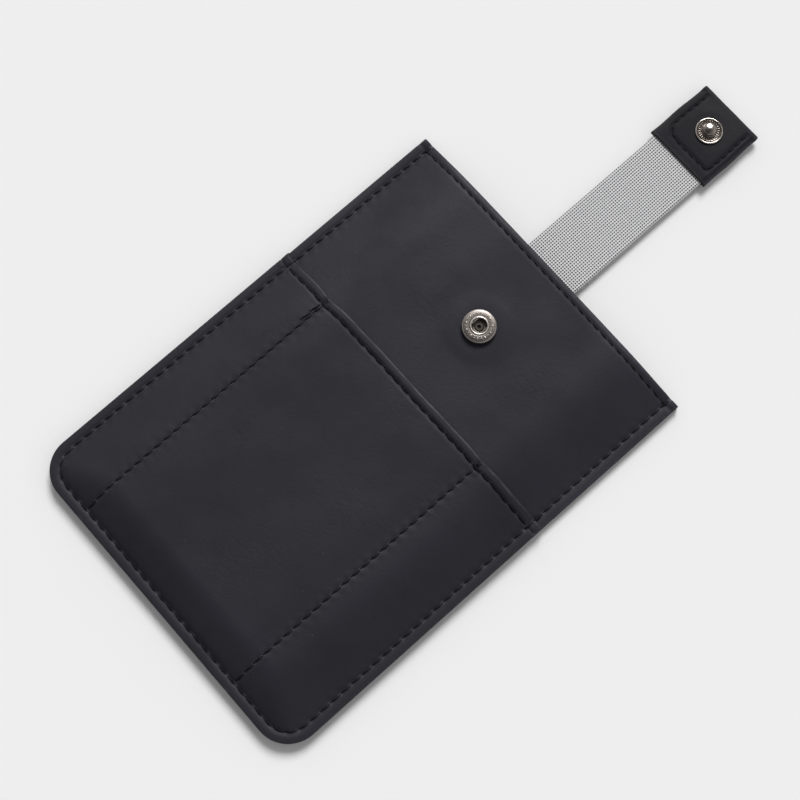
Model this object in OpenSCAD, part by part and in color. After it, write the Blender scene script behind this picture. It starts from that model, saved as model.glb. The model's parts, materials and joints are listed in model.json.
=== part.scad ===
// Neck pouch wallet of black leather: a flat lined pouch, open at the mouth, with a sewn-on front
// pocket in three sections and a pull strap. The strap is sewn low on the front lining, loops
// under the contents, runs up the back and leaves the mouth. Its leather tab folds over the mouth
// and snaps on the front. Drawn open, with the strap pulled out.
//
// Frame: origin at the centre of the pouch's back face, +Y towards the mouth, +Z out of the front.

/* [Pouch] */
// Width across the side edges
pouch_w = 120.5; // [112:0.5:130]
// Height from the bottom edge to the mouth
pouch_h = 165; // [155:0.5:180]
// Outer radius of the two bottom corners
corner_r = 11.5; // [6:0.5:14]
// Thickness of the two big leather panels
panel_t = 1.2; // [0.8:0.1:1.6]
// Thickness of the lining cloth
lining_t = 0.3; // [0.2:0.1:0.4]
// Clear depth between the linings where the pouch is full
cavity_d = 6.2; // [6.2:0.1:8]
// Width of the flat sewn border
border_w = 4.5; // [4.5:0.5:6]
// Width over which the front rises from the border
slope_w = 9; // [7:0.5:12]
// Depth of the turned hem at the mouth
mouth_hem = 6.5; // [5:0.5:10]

/* [Front pocket] */
// Height of the pocket's upper edge above the pouch's centre
pocket_top = 23.7; // [15:0.1:32]
// Thickness of the pocket leather
pocket_t = 1.1; // [0.8:0.1:1.4]
// Slack behind the pocket, for cards
card_gap = 0.6; // [0.4:0.1:1]
// Width of the folded hem along the pocket's upper edge
pocket_hem = 3.4; // [2.5:0.1:5]
// How far the folded hem stands above the pocket
pocket_hem_t = 0.5; // [0.3:0.1:0.8]
// Place of the left divider seam
divider_left = -38.3; // [-42:0.1:-20]
// Place of the right divider seam
divider_right = 32.7; // [20:0.1:42]

/* [Stitching] */
// Distance from one stitch to the next
stitch_pitch = 4.2; // [3.6:0.1:5]
// Length of one visible stitch
stitch_len = 2.9; // [2:0.1:3.2]
// Width of the thread
thread_w = 0.7; // [0.5:0.1:0.9]
// Height of the thread above the leather
thread_h = 0.25; // [0.15:0.05:0.3]
// Distance of the border seam from the pouch's edge
seam_in = 3.4; // [3:0.1:3.6]
// Distance of the mouth seam from the mouth's edge
mouth_seam_in = 2.8; // [2:0.1:4]

/* [Pull strap] */
// Width of the webbing
strap_w = 22; // [18:0.5:26]
// Thickness of the webbing
strap_t = 0.8; // [0.6:0.1:1]
// Height of the webbing's middle above the table
strap_z = 2.4; // [2.3:0.1:2.4]
// Clearance between two runs of webbing
strap_gap = 0.3; // [0.2:0.1:0.4]

/* [Tab] */
// Width of the leather tab
tab_w = 25.2; // [23:0.1:30]
// Length of the leather tab
tab_l = 25; // [20:0.5:30]
// Height of the tab's far edge above the pouch's centre
tab_end = 164.5; // [160:0.5:170]
// Thickness of each leaf of the tab
tab_leaf = 0.95; // [0.7:0.05:1.1]
// Distance from the snap stud to the tab's far edge
stud_in = 11; // [9:0.5:14]

/* [Snap] */
// Distance from the snap socket down from the mouth
socket_in = 31.3; // [28:0.1:40]
// Outer radius of the snap socket
socket_r = 5.65; // [5.5:0.05:6]
// Radius of the snap socket's hole
socket_hole_r = 2.35; // [2.3:0.05:2.5]
// Outer radius of the snap stud
stud_r = 4.6; // [4.2:0.1:5]
// Radius of the stud's ball
ball_r = 2.15; // [2.1:0.05:2.15]
// Radius of the stud's neck
neck_r = 1.75; // [1.6:0.05:1.75]

/* [Hidden] */
$fn = 64;

// Layers at the flat border, from the table up
back_top = panel_t;
back_lining_top = back_top + lining_t;
front_lining_top = back_lining_top + lining_t;
front_top = front_lining_top + panel_t;
pocket_base_top = front_top + pocket_t;

// The plateau of the full pouch
bottom_y = -pouch_h / 2;
mouth_y = pouch_h / 2;
foot_x = pouch_w / 2 - border_w;
top_x = foot_x - slope_w;
foot_y = bottom_y + border_w;
top_y = foot_y + slope_w;
// Foot of the slope across each bottom corner, measured from the origin along the diagonal
corner_foot = (pouch_w / 2 + pouch_h / 2 - 2 * corner_r) / sqrt(2) + corner_r - border_w;
far = 4 * pouch_h;
roof = cavity_d;
pocket_roof = cavity_d + card_gap;
inner_z = back_lining_top + roof;
face_z = front_top + roof;
pocket_z = pocket_base_top + pocket_roof;
rib_w = 2;
card_top = pocket_top - 0.01;

// Snap socket, heights above the front face
socket_y = mouth_y - socket_in;
socket_plate = 0.3;
socket_top = 2.3;
annulus_top = 1.5;
rim_roll = 0.45;
ridge_in = 2.7;
ridge_out = 3.1;
ridge_foot = 3.85;
spring_wire = 0.28;
spring_z = 1.72;
spring_ring = 3.1;
spring_bar_x = neck_r + 0.05 + spring_wire;
spring_bar_half = sqrt(spring_ring * spring_ring - spring_bar_x * spring_bar_x);
// Tubular post that holds the socket
post_r = 1;
post_bore = 0.65;
post_hole_r = 1.05;
post_roll_r = 1.4;
post_roll_h = 0.4;
cap_r = 5;
cap_t = 0.55;

// Snap stud, heights above the tab's face
stud_rim_h = 0.7;
stud_rim_roll = 0.35;
stud_dish = 0.25;
stud_h = 2.45;
stud_tip_r = 1.5;
stud_hollow_r = 1.3;
stud_cap_t = 0.75;

// Pull strap
tab_half = tab_leaf + strap_t / 2;
tab_start = tab_end - tab_l;
stud_y = tab_end - stud_in;
// The strap's middle when it lies folded over the front, with the stud in the socket
closed_rim_gap = 0.3;
folded_z = face_z + socket_top + closed_rim_gap + stud_rim_h + tab_half;
fold_span = folded_z - strap_z;
mouth_clear = 2;
closed_fold_y = mouth_y + mouth_clear;
upper_fold_y = stud_y - (closed_fold_y - socket_y);
lower_fold_y = upper_fold_y - fold_span;
strap_travel = lower_fold_y - closed_fold_y;
loop_travel = strap_travel / 2;
fold_gap = 0.6;
// Loop under the contents
loop_low_z = strap_z + strap_t / 2 + strap_gap;
anchor_z = inner_z - strap_t;
loop_high_z = anchor_z - strap_gap;
loop_r = (loop_high_z - loop_low_z) / 2;
loop_y = top_y - 1.5 + loop_travel;
run_end_y = loop_y - loop_travel + strap_travel + 0.25;
leg_end_y = run_end_y + 1;
anchor_low_y = leg_end_y - loop_travel - 0.3;
anchor_high_y = leg_end_y + 4;

// ---- Shared shapes ----

// Block with the pouch's outline: square at the mouth, rounded at the bottom corners
module outline_block(z0, z1) {
    translate([-pouch_w / 2, bottom_y + corner_r, z0])
        cube([pouch_w, pouch_h - corner_r, z1 - z0]);
    translate([corner_r - pouch_w / 2, bottom_y, z0])
        cube([pouch_w - 2 * corner_r, 2 * corner_r, z1 - z0]);
    for (side = [-1, 1])
        translate([side * (pouch_w / 2 - corner_r), bottom_y + corner_r, z0])
            cylinder(r = corner_r, h = z1 - z0);
}

// Everything below a roof that is z high beyond foot and z + rise high from slope_w inside it,
// with foot measured from the origin along heading
module ramp(heading, foot, z, rise) {
    rotate([90, 0, heading])
        linear_extrude(2 * far, center = true)
            polygon([[-far, -far], [far, -far], [far, z], [foot, z],
                [foot - slope_w, z + rise], [-far, z + rise]]);
}

// Everything below the domed front: low at the border, raised inside it and open at the mouth
module under_front(z, rise) {
    intersection() {
        ramp(0, foot_x, z, rise);
        ramp(180, foot_x, z, rise);
        ramp(270, -foot_y, z, rise);
        ramp(225, corner_foot, z, rise);
        ramp(315, corner_foot, z, rise);
    }
}

// Sheet of material that follows the domed front, between the heights y0 and y1
module front_sheet(z0, z1, rise, y0, y1) {
    difference() {
        intersection() {
            outline_block(0, z1 + rise + 1);
            under_front(z1, rise);
            translate([-far / 2, y0, -1]) cube([far, y1 - y0, z1 + rise + 3]);
        }
        under_front(z0, rise);
    }
}

// Hole for a snap's post, from z0 to z1
module post_hole(y, z0, z1) {
    translate([0, y, z0]) cylinder(r = post_hole_r, h = z1 - z0);
}

// One stitch along X, lying on z = 0
module stitch(length = stitch_len) {
    rotate([90, 0, 90])
        linear_extrude(length, center = true)
            polygon([[-thread_w / 2, 0], [thread_w / 2, 0],
                [thread_w / 4, thread_h], [-thread_w / 4, thread_h]]);
}

// As many stitches as fit on a line of this length along X, centred
module stitch_row(length, pitch = stitch_pitch, size = stitch_len) {
    count = floor(length / pitch);
    for (i = [0:count - 1])
        translate([(i - (count - 1) / 2) * pitch, 0, 0]) stitch(size);
}

// A row of stitches along Y at x, from y0 to y1, lying at height z
module upright_row(x, y0, y1, z, pitch = stitch_pitch, size = stitch_len) {
    translate([x, (y0 + y1) / 2, z]) rotate([0, 0, 90]) stitch_row(y1 - y0, pitch, size);
}

// A row of stitches across the domed front at the height y, on a surface z high at the border
module cross_row(y, z, rise) {
    slope_len = sqrt(slope_w * slope_w + rise * rise);
    translate([0, y, z + rise]) stitch_row(2 * top_x);
    for (side = [-1, 1])
        translate([side * (foot_x + top_x) / 2, y, z + rise / 2])
            rotate([0, side * atan(rise / slope_w), 0]) stitch_row(slope_len);
}

// A flat run of webbing between two heights on the strap
module webbing(y0, y1, z_low) {
    translate([-strap_w / 2, y0, z_low]) cube([strap_w, y1 - y0, strap_t]);
}

// ---- Pouch ----

// Back panel, flat, with its hem turned in at the mouth
module back_panel() {
    color("#2f2f33") {
        outline_block(0, back_top);
        translate([-pouch_w / 2, mouth_y - mouth_hem, back_top])
            cube([pouch_w, mouth_hem, lining_t]);
    }
}

// Lining of the back panel, up to the turned hem
module back_lining() {
    color("#1d1d20")
        intersection() {
            outline_block(back_top, back_lining_top);
            translate([-far / 2, bottom_y - 1, 0]) cube([far, pouch_h + 1 - mouth_hem, far]);
        }
}

// Lining of the front panel, up to the turned hem
module front_lining() {
    color("#1d1d20")
        difference() {
            front_sheet(back_lining_top, front_lining_top, roof, bottom_y - 1,
                mouth_y - mouth_hem);
            post_hole(socket_y, inner_z - 1, inner_z + lining_t + 1);
        }
}

// Front panel, raised over the contents, with its hem turned in at the mouth
module front_panel() {
    color("#343439")
        difference() {
            union() {
                front_sheet(front_lining_top, front_top, roof, bottom_y - 1, mouth_y);
                front_sheet(back_lining_top, front_lining_top, roof, mouth_y - mouth_hem,
                    mouth_y);
            }
            post_hole(socket_y, inner_z - 1, face_z + 1);
        }
}

// Front pocket: one panel, held down by two ribs where the divider seams run
module front_pocket() {
    color("#3a3a3f") {
        front_sheet(front_top, pocket_base_top, pocket_roof, bottom_y - 1, pocket_top);
        front_sheet(pocket_base_top, pocket_base_top + pocket_hem_t, pocket_roof,
            pocket_top - pocket_hem, pocket_top);
        for (x = [divider_left, divider_right])
            difference() {
                intersection() {
                    under_front(front_top, pocket_roof);
                    translate([x - rib_w / 2, foot_y, front_top])
                        cube([rib_w, card_top - foot_y, far]);
                }
                under_front(front_top, roof);
            }
    }
}

// Seam round the sides, the bottom and both bottom corners
module perimeter_stitching() {
    corner_x = pouch_w / 2 - corner_r;
    corner_y = bottom_y + corner_r;
    hem_low = pocket_top - pocket_hem;
    color("#16161a") {
        for (side = [-1, 1]) {
            x = side * (pouch_w / 2 - seam_in);
            upright_row(x, corner_y, hem_low, pocket_base_top);
            upright_row(x, pocket_top, mouth_y, front_top);
            translate([side * corner_x, corner_y, pocket_base_top])
                for (turn = [15, 45, 75])
                    rotate([0, 0, side > 0 ? -turn : 180 + turn])
                        translate([corner_r - seam_in, 0, 0]) rotate([0, 0, 90]) stitch();
        }
        translate([0, bottom_y + seam_in, pocket_base_top]) stitch_row(2 * corner_x);
    }
}

// Seam that holds the turned hem of the front panel
module mouth_front_stitching() {
    color("#16161a") cross_row(mouth_y - mouth_seam_in, front_top, roof);
}

// Seam that holds the turned hem of the back panel, on its inner side
module mouth_back_stitching() {
    color("#16161a")
        translate([0, mouth_y - mouth_seam_in, back_lining_top])
            stitch_row(2 * (foot_x - stitch_pitch));
}

// Seam along the pocket's folded hem
module pocket_hem_stitching() {
    color("#16161a")
        cross_row(pocket_top - pocket_hem + thread_w, pocket_base_top + pocket_hem_t, pocket_roof);
}

// Seam that divides the pocket, from its hem down to the border, with two bar tacks on the hem
module divider_stitching(x) {
    tack_len = pocket_hem - 4 * thread_w;
    hem_low = pocket_top - pocket_hem;
    slope_len = sqrt(slope_w * slope_w + pocket_roof * pocket_roof);
    upright_row(x, top_y, hem_low, pocket_z);
    translate([x, (foot_y + top_y) / 2, pocket_base_top + pocket_roof / 2])
        rotate([atan(pocket_roof / slope_w), 0, 0]) rotate([0, 0, 90]) stitch_row(slope_len);
    for (side = [-1, 1])
        translate([x + side * thread_w, pocket_top - thread_w / 2 - tack_len / 2,
            pocket_z + pocket_hem_t])
            rotate([0, 0, 90]) stitch(tack_len);
}

module divider_stitching_left() { color("#16161a") divider_stitching(divider_left); }
module divider_stitching_right() { color("#16161a") divider_stitching(divider_right); }

// ---- Snap socket on the front panel ----

// Pressed shell: base plate, rolled rim, flat ring and a hollow ridge round the hole
module snap_socket() {
    wall_r = socket_r - 0.7;
    color("#8f9096")
        translate([0, socket_y, face_z])
            rotate_extrude()
                difference() {
                    union() {
                        polygon([[post_hole_r, 0], [wall_r, 0], [socket_r - 0.3, 0.4],
                            [socket_r - 0.3, annulus_top], [ridge_foot, annulus_top],
                            [ridge_out + 0.4, socket_top - 0.25], [ridge_out, socket_top],
                            [ridge_in, socket_top], [socket_hole_r, socket_top - 0.2],
                            [post_hole_r, socket_top - 0.2]]);
                        translate([socket_r - rim_roll, annulus_top - 0.1]) circle(r = rim_roll);
                    }
                    polygon([[0, socket_plate], [wall_r - 0.2, socket_plate],
                        [wall_r - 0.2, annulus_top - 0.3], [spring_ring + spring_wire + 0.1,
                            annulus_top - 0.3],
                        [spring_ring + spring_wire + 0.1, socket_top - 0.25],
                        [socket_hole_r, socket_top - 0.25], [socket_hole_r, far], [0, far]]);
                }
}

// Wire spring: two bars that grip the stud's neck, joined by a ring that is open on one side
module snap_socket_spring() {
    color("#b9b9bd")
        translate([0, socket_y, face_z + spring_z - spring_wire]) {
            for (side = [-1, 1])
                translate([side * spring_bar_x - spring_wire, -spring_bar_half, 0])
                    cube([2 * spring_wire, 2 * spring_bar_half, 2 * spring_wire]);
            difference() {
                cylinder(r = spring_ring + spring_wire, h = 2 * spring_wire);
                translate([0, 0, -1]) cylinder(r = spring_ring - spring_wire, h = 3);
                translate([-spring_bar_x, -far, -1]) cube([2 * spring_bar_x, far, 3]);
            }
        }
}

// Tubular post: flat head inside the pouch, tube through lining, leather and base plate, and a
// rolled end that shows in the socket's hole
module snap_socket_post() {
    grip = lining_t + panel_t + socket_plate;
    color("#8f9096")
        translate([0, socket_y, inner_z])
            rotate_extrude() {
                polygon([[0, -cap_t], [cap_r - 0.3, -cap_t], [cap_r, 0.3 - cap_t], [cap_r, 0],
                    [0, 0]]);
                translate([post_bore, 0]) square([post_r - post_bore, grip]);
                translate([post_bore, grip])
                    square([post_roll_r - post_roll_h / 2 - post_bore, post_roll_h]);
                translate([post_roll_r - post_roll_h / 2, grip + post_roll_h / 2])
                    circle(r = post_roll_h / 2);
            }
}

// ---- Pull strap ----

// Fixed end of the strap, sewn to the front lining
module strap_anchor_run() {
    color("#75767c") webbing(anchor_low_y, anchor_high_y, anchor_z);
}

// Two rows that sew the fixed end down
module strap_anchor_stitching() {
    color("#16161a")
        for (row = [1, 2.5])
            translate([0, anchor_high_y - row, anchor_z]) mirror([0, 0, 1])
                stitch_row(strap_w - 1);
}

// Loop that carries the contents: it travels half as far as the strap
module strap_loop() {
    mid_z = (loop_low_z + loop_high_z) / 2;
    color("#75767c") {
        for (z = [loop_low_z, loop_high_z - strap_t]) webbing(loop_y + loop_r, leg_end_y, z);
        intersection() {
            translate([0, loop_y + loop_r, mid_z])
                rotate([0, 90, 0])
                    difference() {
                        cylinder(r = loop_r, h = strap_w, center = true);
                        cylinder(r = loop_r - strap_t, h = strap_w + 2, center = true);
                    }
            translate([-strap_w, loop_y - 1, 0]) cube([2 * strap_w, loop_r + 1, far]);
        }
    }
}

// Run of the strap up the back and out of the mouth
module strap_back_run() {
    color("#75767c") webbing(run_end_y, lower_fold_y - fold_gap, strap_z - strap_t / 2);
}

// Stretch of webbing that stands over the mouth when the pouch is closed
module strap_bend() {
    color("#8a8b91")
        webbing(lower_fold_y + fold_gap, upper_fold_y - fold_gap, strap_z - strap_t / 2);
}

// End of the webbing, sewn into the tab
module strap_tip() {
    color("#75767c")
        difference() {
            webbing(upper_fold_y + fold_gap, tab_end - tab_half - 0.2, strap_z - strap_t / 2);
            post_hole(stud_y, 0, far);
        }
}

// Leather tab, folded over the end of the webbing
module tab_leather() {
    color("#3a3a3f")
        difference() {
            union() {
                translate([-tab_w / 2, tab_start, strap_z - tab_half])
                    cube([tab_w, tab_l - tab_half, 2 * tab_half]);
                translate([0, tab_end - tab_half, strap_z])
                    rotate([0, 90, 0]) cylinder(r = tab_half, h = tab_w, center = true);
            }
            translate([-strap_w / 2, tab_start - 1, strap_z - strap_t / 2])
                cube([strap_w, tab_l - tab_half - 0.2 + 1, strap_t]);
            post_hole(stud_y, 0, far);
        }
}

// Seam round the tab's open edges, on both leaves
module tab_stitching() {
    pitch = 3;
    size = 2.1;
    side_in = 3;
    low_in = 3.6;
    color("#16161a")
        for (face = [0, 1])
            translate([0, 0, strap_z]) mirror([0, 0, face]) translate([0, 0, tab_half]) {
                for (side = [-1, 1])
                    upright_row(side * (tab_w / 2 - side_in), tab_start + low_in + thread_w,
                        tab_end - tab_half, 0, pitch, size);
                translate([0, tab_start + low_in, 0])
                    stitch_row(tab_w - 2 * side_in, pitch, size);
            }
}

// Snap stud: rolled rim, dished plate, neck and ball
module snap_stud() {
    color("#8f9096")
        translate([0, stud_y, strap_z + tab_half])
            rotate_extrude()
                difference() {
                    union() {
                        polygon([[0, 0], [stud_r - stud_rim_roll, 0],
                            [stud_r - stud_rim_roll, stud_dish], [neck_r, stud_dish],
                            [neck_r, stud_h - 0.55], [ball_r, stud_h - 0.3],
                            [ball_r, stud_h - 0.25], [stud_tip_r, stud_h], [0, stud_h]]);
                        translate([stud_r - stud_rim_roll, stud_rim_roll])
                            circle(r = stud_rim_roll);
                    }
                    square([stud_hollow_r, stud_h - 0.3]);
                }
}

// Cap on the tab's back, with the post that holds the stud
module snap_stud_cap() {
    color("#8f9096")
        translate([0, stud_y, strap_z - tab_half])
            rotate_extrude() {
                polygon([[0, -stud_cap_t], [stud_r - 1.2, -stud_cap_t], [stud_r, -0.25],
                    [stud_r, 0], [0, 0]]);
                square([post_r, 2 * tab_half + 0.4]);
            }
}

back_panel();
back_lining();
front_lining();
front_panel();
front_pocket();
perimeter_stitching();
mouth_front_stitching();
mouth_back_stitching();
pocket_hem_stitching();
divider_stitching_left();
divider_stitching_right();
snap_socket();
snap_socket_spring();
snap_socket_post();
strap_anchor_run();
strap_anchor_stitching();
strap_loop();
strap_back_run();
strap_bend();
strap_tip();
tab_leather();
tab_stitching();
snap_stud();
snap_stud_cap();
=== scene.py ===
"""Neck pouch wallet: a lined leather pouch with a sectioned front pocket, a snap and a pull strap.

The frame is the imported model: +Y towards the mouth, +Z out of the front, origin under the middle of
the pouch. Every class works in millimetres and turns into metres only when a mesh is written.
"""

from __future__ import annotations

import json
import logging
import math
from dataclasses import dataclass, field
from enum import Enum
from typing import Callable, Iterable, Sequence

import bmesh
import bpy
import numpy as np
from mathutils import Matrix, Vector

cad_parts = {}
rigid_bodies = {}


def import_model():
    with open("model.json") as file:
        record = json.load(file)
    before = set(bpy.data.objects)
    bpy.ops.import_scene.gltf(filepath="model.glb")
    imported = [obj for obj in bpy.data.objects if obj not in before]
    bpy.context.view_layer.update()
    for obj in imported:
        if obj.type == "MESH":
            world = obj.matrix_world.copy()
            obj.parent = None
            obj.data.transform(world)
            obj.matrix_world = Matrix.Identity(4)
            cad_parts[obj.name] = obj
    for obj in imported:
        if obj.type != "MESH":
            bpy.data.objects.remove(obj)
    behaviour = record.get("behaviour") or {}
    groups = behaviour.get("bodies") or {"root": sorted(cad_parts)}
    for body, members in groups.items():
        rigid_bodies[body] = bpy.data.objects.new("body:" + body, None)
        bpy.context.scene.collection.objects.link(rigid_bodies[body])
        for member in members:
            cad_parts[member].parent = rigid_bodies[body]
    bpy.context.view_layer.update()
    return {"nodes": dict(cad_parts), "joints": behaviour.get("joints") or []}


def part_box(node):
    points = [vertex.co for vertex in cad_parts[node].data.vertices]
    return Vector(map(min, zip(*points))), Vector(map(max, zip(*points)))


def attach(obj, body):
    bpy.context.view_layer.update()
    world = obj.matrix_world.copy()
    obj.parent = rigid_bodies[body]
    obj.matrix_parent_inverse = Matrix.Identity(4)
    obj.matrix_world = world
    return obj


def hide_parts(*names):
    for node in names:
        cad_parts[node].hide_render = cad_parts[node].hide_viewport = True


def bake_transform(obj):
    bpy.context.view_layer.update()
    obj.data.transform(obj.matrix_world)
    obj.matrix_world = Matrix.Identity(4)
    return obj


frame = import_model()

LOG = logging.getLogger("neck_pouch")
MM = 0.001
TURN = 2 * math.pi
CLOSEST = 0.03  # Least distance between two lines of a grid.
EDGE_LINES = (0.0, 0.08, 0.2, 0.42)  # Grid lines inwards from a rounded edge.
ONE_STITCH = 9.0  # Longer than any stitch, so that a short path gets exactly one.
UP = np.array([[0.0, 0.0, 1.0]])

Array = np.ndarray
Surface = Callable[[Array, Array], Array]
Faces = list[tuple[int, ...]]


# ---- Named options ----


class Body(Enum):
    """Moving bodies of the wallet."""

    POUCH = "pouch"
    STRAP = "pull_strap"
    LOOP = "strap_loop"
    BEND = "strap_bend"
    TAB = "tab"


class Slot(Enum):
    """Material slots of the wallet."""

    PANEL = "panel_leather"
    POCKET = "pocket_leather"
    TAB = "tab_leather"
    LINING = "lining"
    THREAD = "thread"
    WEBBING = "webbing"
    METAL = "snap_metal"
    SPRING = "spring_wire"


class Side(Enum):
    """Left and right as seen from the front."""

    LEFT = -1
    RIGHT = 1


# ---- Small geometry tools ----


def mm_box(node: str) -> tuple[Array, Array]:
    """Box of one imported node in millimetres.

    Args:
        node: Name of the node.

    Returns:
        Its lowest and highest corners.
    """
    low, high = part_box(node)
    return np.array(low) / MM, np.array(high) / MM


def bump_at(distance: Array, width: float) -> Array:
    """Bell of height 1 at distance 0 that fades over width."""
    return np.exp(-((distance / width) ** 2))


def ease(t: Array) -> Array:
    """Smooth step from 0 to 1, held outside."""
    t = np.clip(t, 0.0, 1.0)
    return t * t * (3.0 - 2.0 * t)


def soft_min(a: Array, b: Array, blend: float) -> Array:
    """Smaller of two fields, rounded where they meet.

    Args:
        a: First field.
        b: Second field.
        blend: Width of the rounding.

    Returns:
        The rounded minimum.
    """
    h = np.clip(0.5 + 0.5 * (b - a) / blend, 0.0, 1.0)
    return b + (a - b) * h - blend * h * (1.0 - h)


def ripple(x: Array, y: Array, wave: float, seed: int) -> Array:
    """Slow uneven waves, made of a few crossed sines.

    Args:
        x: Places across.
        y: Places along.
        wave: Typical length of a wave.
        seed: Picks one set of directions and phases.

    Returns:
        Heights between about -1 and 1.
    """
    rng = np.random.default_rng(seed)
    total = np.zeros(np.broadcast(x, y).shape)
    count = 7
    for _ in range(count):
        turn, phase = rng.uniform(0, TURN, 2)
        length = wave * rng.uniform(0.6, 1.6)
        along = x * math.cos(turn) + y * math.sin(turn)
        total += np.sin(TURN * along / length + phase)
    return total / count * 1.6


def lines(low: float, high: float, step: float,
          fine: Iterable[tuple[float, float, float]] = ()) -> Array:
    """Grid lines from low to high, closer together where detail sits.

    Args:
        low: First line.
        high: Last line.
        step: Distance between plain lines.
        fine: Centre, half width and line distance of each detailed band.

    Returns:
        The lines in rising order.
    """
    found = list(np.linspace(low, high, max(2, round((high - low) / step) + 1)))
    for centre, half, gap in fine:
        start, end = max(low, centre - half), min(high, centre + half)
        if end > start:
            found = [v for v in found if not start < v < end or v in (low, high)]
            found += list(np.linspace(start, end, max(2, round((end - start) / gap) + 1)))
    kept: list[float] = []
    for value in sorted(found):
        if not kept or value - kept[-1] > CLOSEST:
            kept.append(value)
    kept[-1] = high
    return np.array(kept)


def rounded(points: Sequence[tuple[float, float]], passes: int = 2,
            cut: float = 0.22) -> list[tuple[float, float]]:
    """Open profile with its corners cut round.

    Args:
        points: Corners of the profile.
        passes: Times the corners are cut.
        cut: Share of each edge that a cut takes.

    Returns:
        The rounded profile, with the same two ends.
    """
    line = [np.array(p, float) for p in points]
    for _ in range(passes):
        smooth = [line[0]]
        for a, b in zip(line[:-1], line[1:]):
            smooth += [a + (b - a) * cut, b - (b - a) * cut]
        line = smooth + [line[-1]]
    return [(float(p[0]), float(p[1])) for p in line]


def fix_normals(piece: bpy.types.Object) -> None:
    """Turns every face of a closed mesh outwards."""
    work = bmesh.new()
    work.from_mesh(piece.data)
    bmesh.ops.recalc_face_normals(work, faces=work.faces)
    work.to_mesh(piece.data)
    work.free()


def mesh_piece(name: str, points: Array, faces: Sequence[Sequence[int]],
               material: bpy.types.Material, slot: Slot,
               rub: Array | None = None, cloth: Array | None = None) -> bpy.types.Object:
    """Makes one smooth closed object out of points in millimetres.

    Args:
        name: Name of the piece.
        points: Corner points, one row each.
        faces: Point numbers of each face.
        material: Finish of the piece.
        slot: Material slot that the finish stands for; not used.
        rub: Wear and painted highlight of each point, from 0 to 1.
        cloth: Place of each point on the flat cloth, in metres.

    Returns:
        The new object.
    """
    mesh = bpy.data.meshes.new(name)
    mesh.from_pydata((points * MM).tolist(), [], [list(f) for f in faces])
    mesh.validate()
    mesh.polygons.foreach_set("use_smooth", [True] * len(mesh.polygons))
    # Wear, painted highlights and painted shade share one point attribute.
    if rub is not None:
        wear_and_glint = mesh.attributes.new("rub", "FLOAT", "POINT")
        wear_and_glint.data.foreach_set("value", rub.astype(np.float32))
    if cloth is not None:
        flat = mesh.attributes.new("cloth", "FLOAT_VECTOR", "POINT")
        flat.data.foreach_set("vector", cloth.astype(np.float32).ravel())
    mesh.materials.append(material)
    mesh.update()
    piece = bpy.data.objects.new(name, mesh)
    bpy.context.scene.collection.objects.link(piece)
    fix_normals(piece)
    return piece


def shell_faces(rows: int, cols: int) -> list[tuple[int, int, int, int]]:
    """Faces of a closed shell of two equal grids, the second after the first.

    Args:
        rows: Rows of each grid.
        cols: Columns of each grid.

    Returns:
        Quads of the top, the bottom and the rim.
    """
    size = rows * cols
    grid = np.arange(size).reshape(rows, cols)
    a, b, c, d = grid[:-1, :-1], grid[:-1, 1:], grid[1:, 1:], grid[1:, :-1]
    top = np.stack([a, b, c, d], -1).reshape(-1, 4)
    bottom = np.stack([d, c, b, a], -1).reshape(-1, 4) + size
    rim = np.concatenate([grid[0, :], grid[1:, -1], grid[-1, -2::-1], grid[-2:0:-1, 0]])
    after = np.roll(rim, -1)
    sides = np.stack([rim, rim + size, after + size, after], -1)
    return [tuple(f) for f in np.concatenate([top, bottom, sides]).tolist()]


def shell_piece(name: str, x: Array, y: Array, top: Array, bottom: Array,
                material: bpy.types.Material, slot: Slot,
                rub: Array | None = None, cloth: Array | None = None) -> bpy.types.Object:
    """Closed sheet between two height grids.

    Args:
        name: Name of the piece.
        x: Places across, a grid.
        y: Places along, a grid.
        top: Upper heights.
        bottom: Lower heights.
        material: Finish of the piece.
        slot: Material slot that the finish stands for.
        rub: Wear and painted highlight of the upper points.
        cloth: Flat places of the upper points, a grid of vectors in metres.

    Returns:
        The new object.
    """
    upper = np.stack([x, y, top], -1).reshape(-1, 3)
    lower = np.stack([x, y, bottom], -1).reshape(-1, 3)
    wear_and_glint = None if rub is None else np.concatenate([rub.ravel(), rub.ravel() * 0.5])
    flat = None if cloth is None else np.concatenate([cloth.reshape(-1, 3)] * 2)
    return mesh_piece(name, np.concatenate([upper, lower]), shell_faces(*x.shape),
                      material, slot, wear_and_glint, flat)


def lathe_piece(name: str, centre: Array, profile: Sequence[tuple[float, float]],
                material: bpy.types.Material, slot: Slot,
                rub: Callable[[float, float], float] | None = None,
                closed: bool = True, segments: int = 96) -> bpy.types.Object:
    """Turned piece about an upright axis.

    Args:
        name: Name of the piece.
        centre: Point of the axis that heights are measured from.
        profile: Radius and height of each point of the outline.
        material: Finish of the piece.
        slot: Material slot that the finish stands for.
        rub: Wear and painted highlight of a point, from its radius and height.
        closed: Whether the outline is a loop; otherwise its ends lie on the axis.
        segments: Points round the axis.

    Returns:
        The new object.
    """
    turns = np.linspace(0, TURN, segments, endpoint=False)
    points: list[Array] = []
    rings: list[list[int]] = []
    wear_and_glint: list[float] = []
    for radius, height in profile:
        count = 1 if radius < 1e-6 else segments
        start = len(points)
        for turn in turns[:count]:
            spot = [radius * math.cos(turn), radius * math.sin(turn), height]
            points.append(centre + np.array(spot))
            wear_and_glint.append(rub(radius, height) if rub else 0.5)
        rings.append(list(range(start, start + count)))
    pairs = list(zip(rings[:-1], rings[1:]))
    if closed:
        pairs.append((rings[-1], rings[0]))
    faces: Faces = []
    for one, two in pairs:
        for i in range(segments):
            j = (i + 1) % segments
            if len(one) == 1:
                faces.append((one[0], two[j], two[i]))
            elif len(two) == 1:
                faces.append((one[i], one[j], two[0]))
            else:
                faces.append((one[i], one[j], two[j], two[i]))
    return mesh_piece(name, np.array(points), faces, material, slot, np.array(wear_and_glint))


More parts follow.
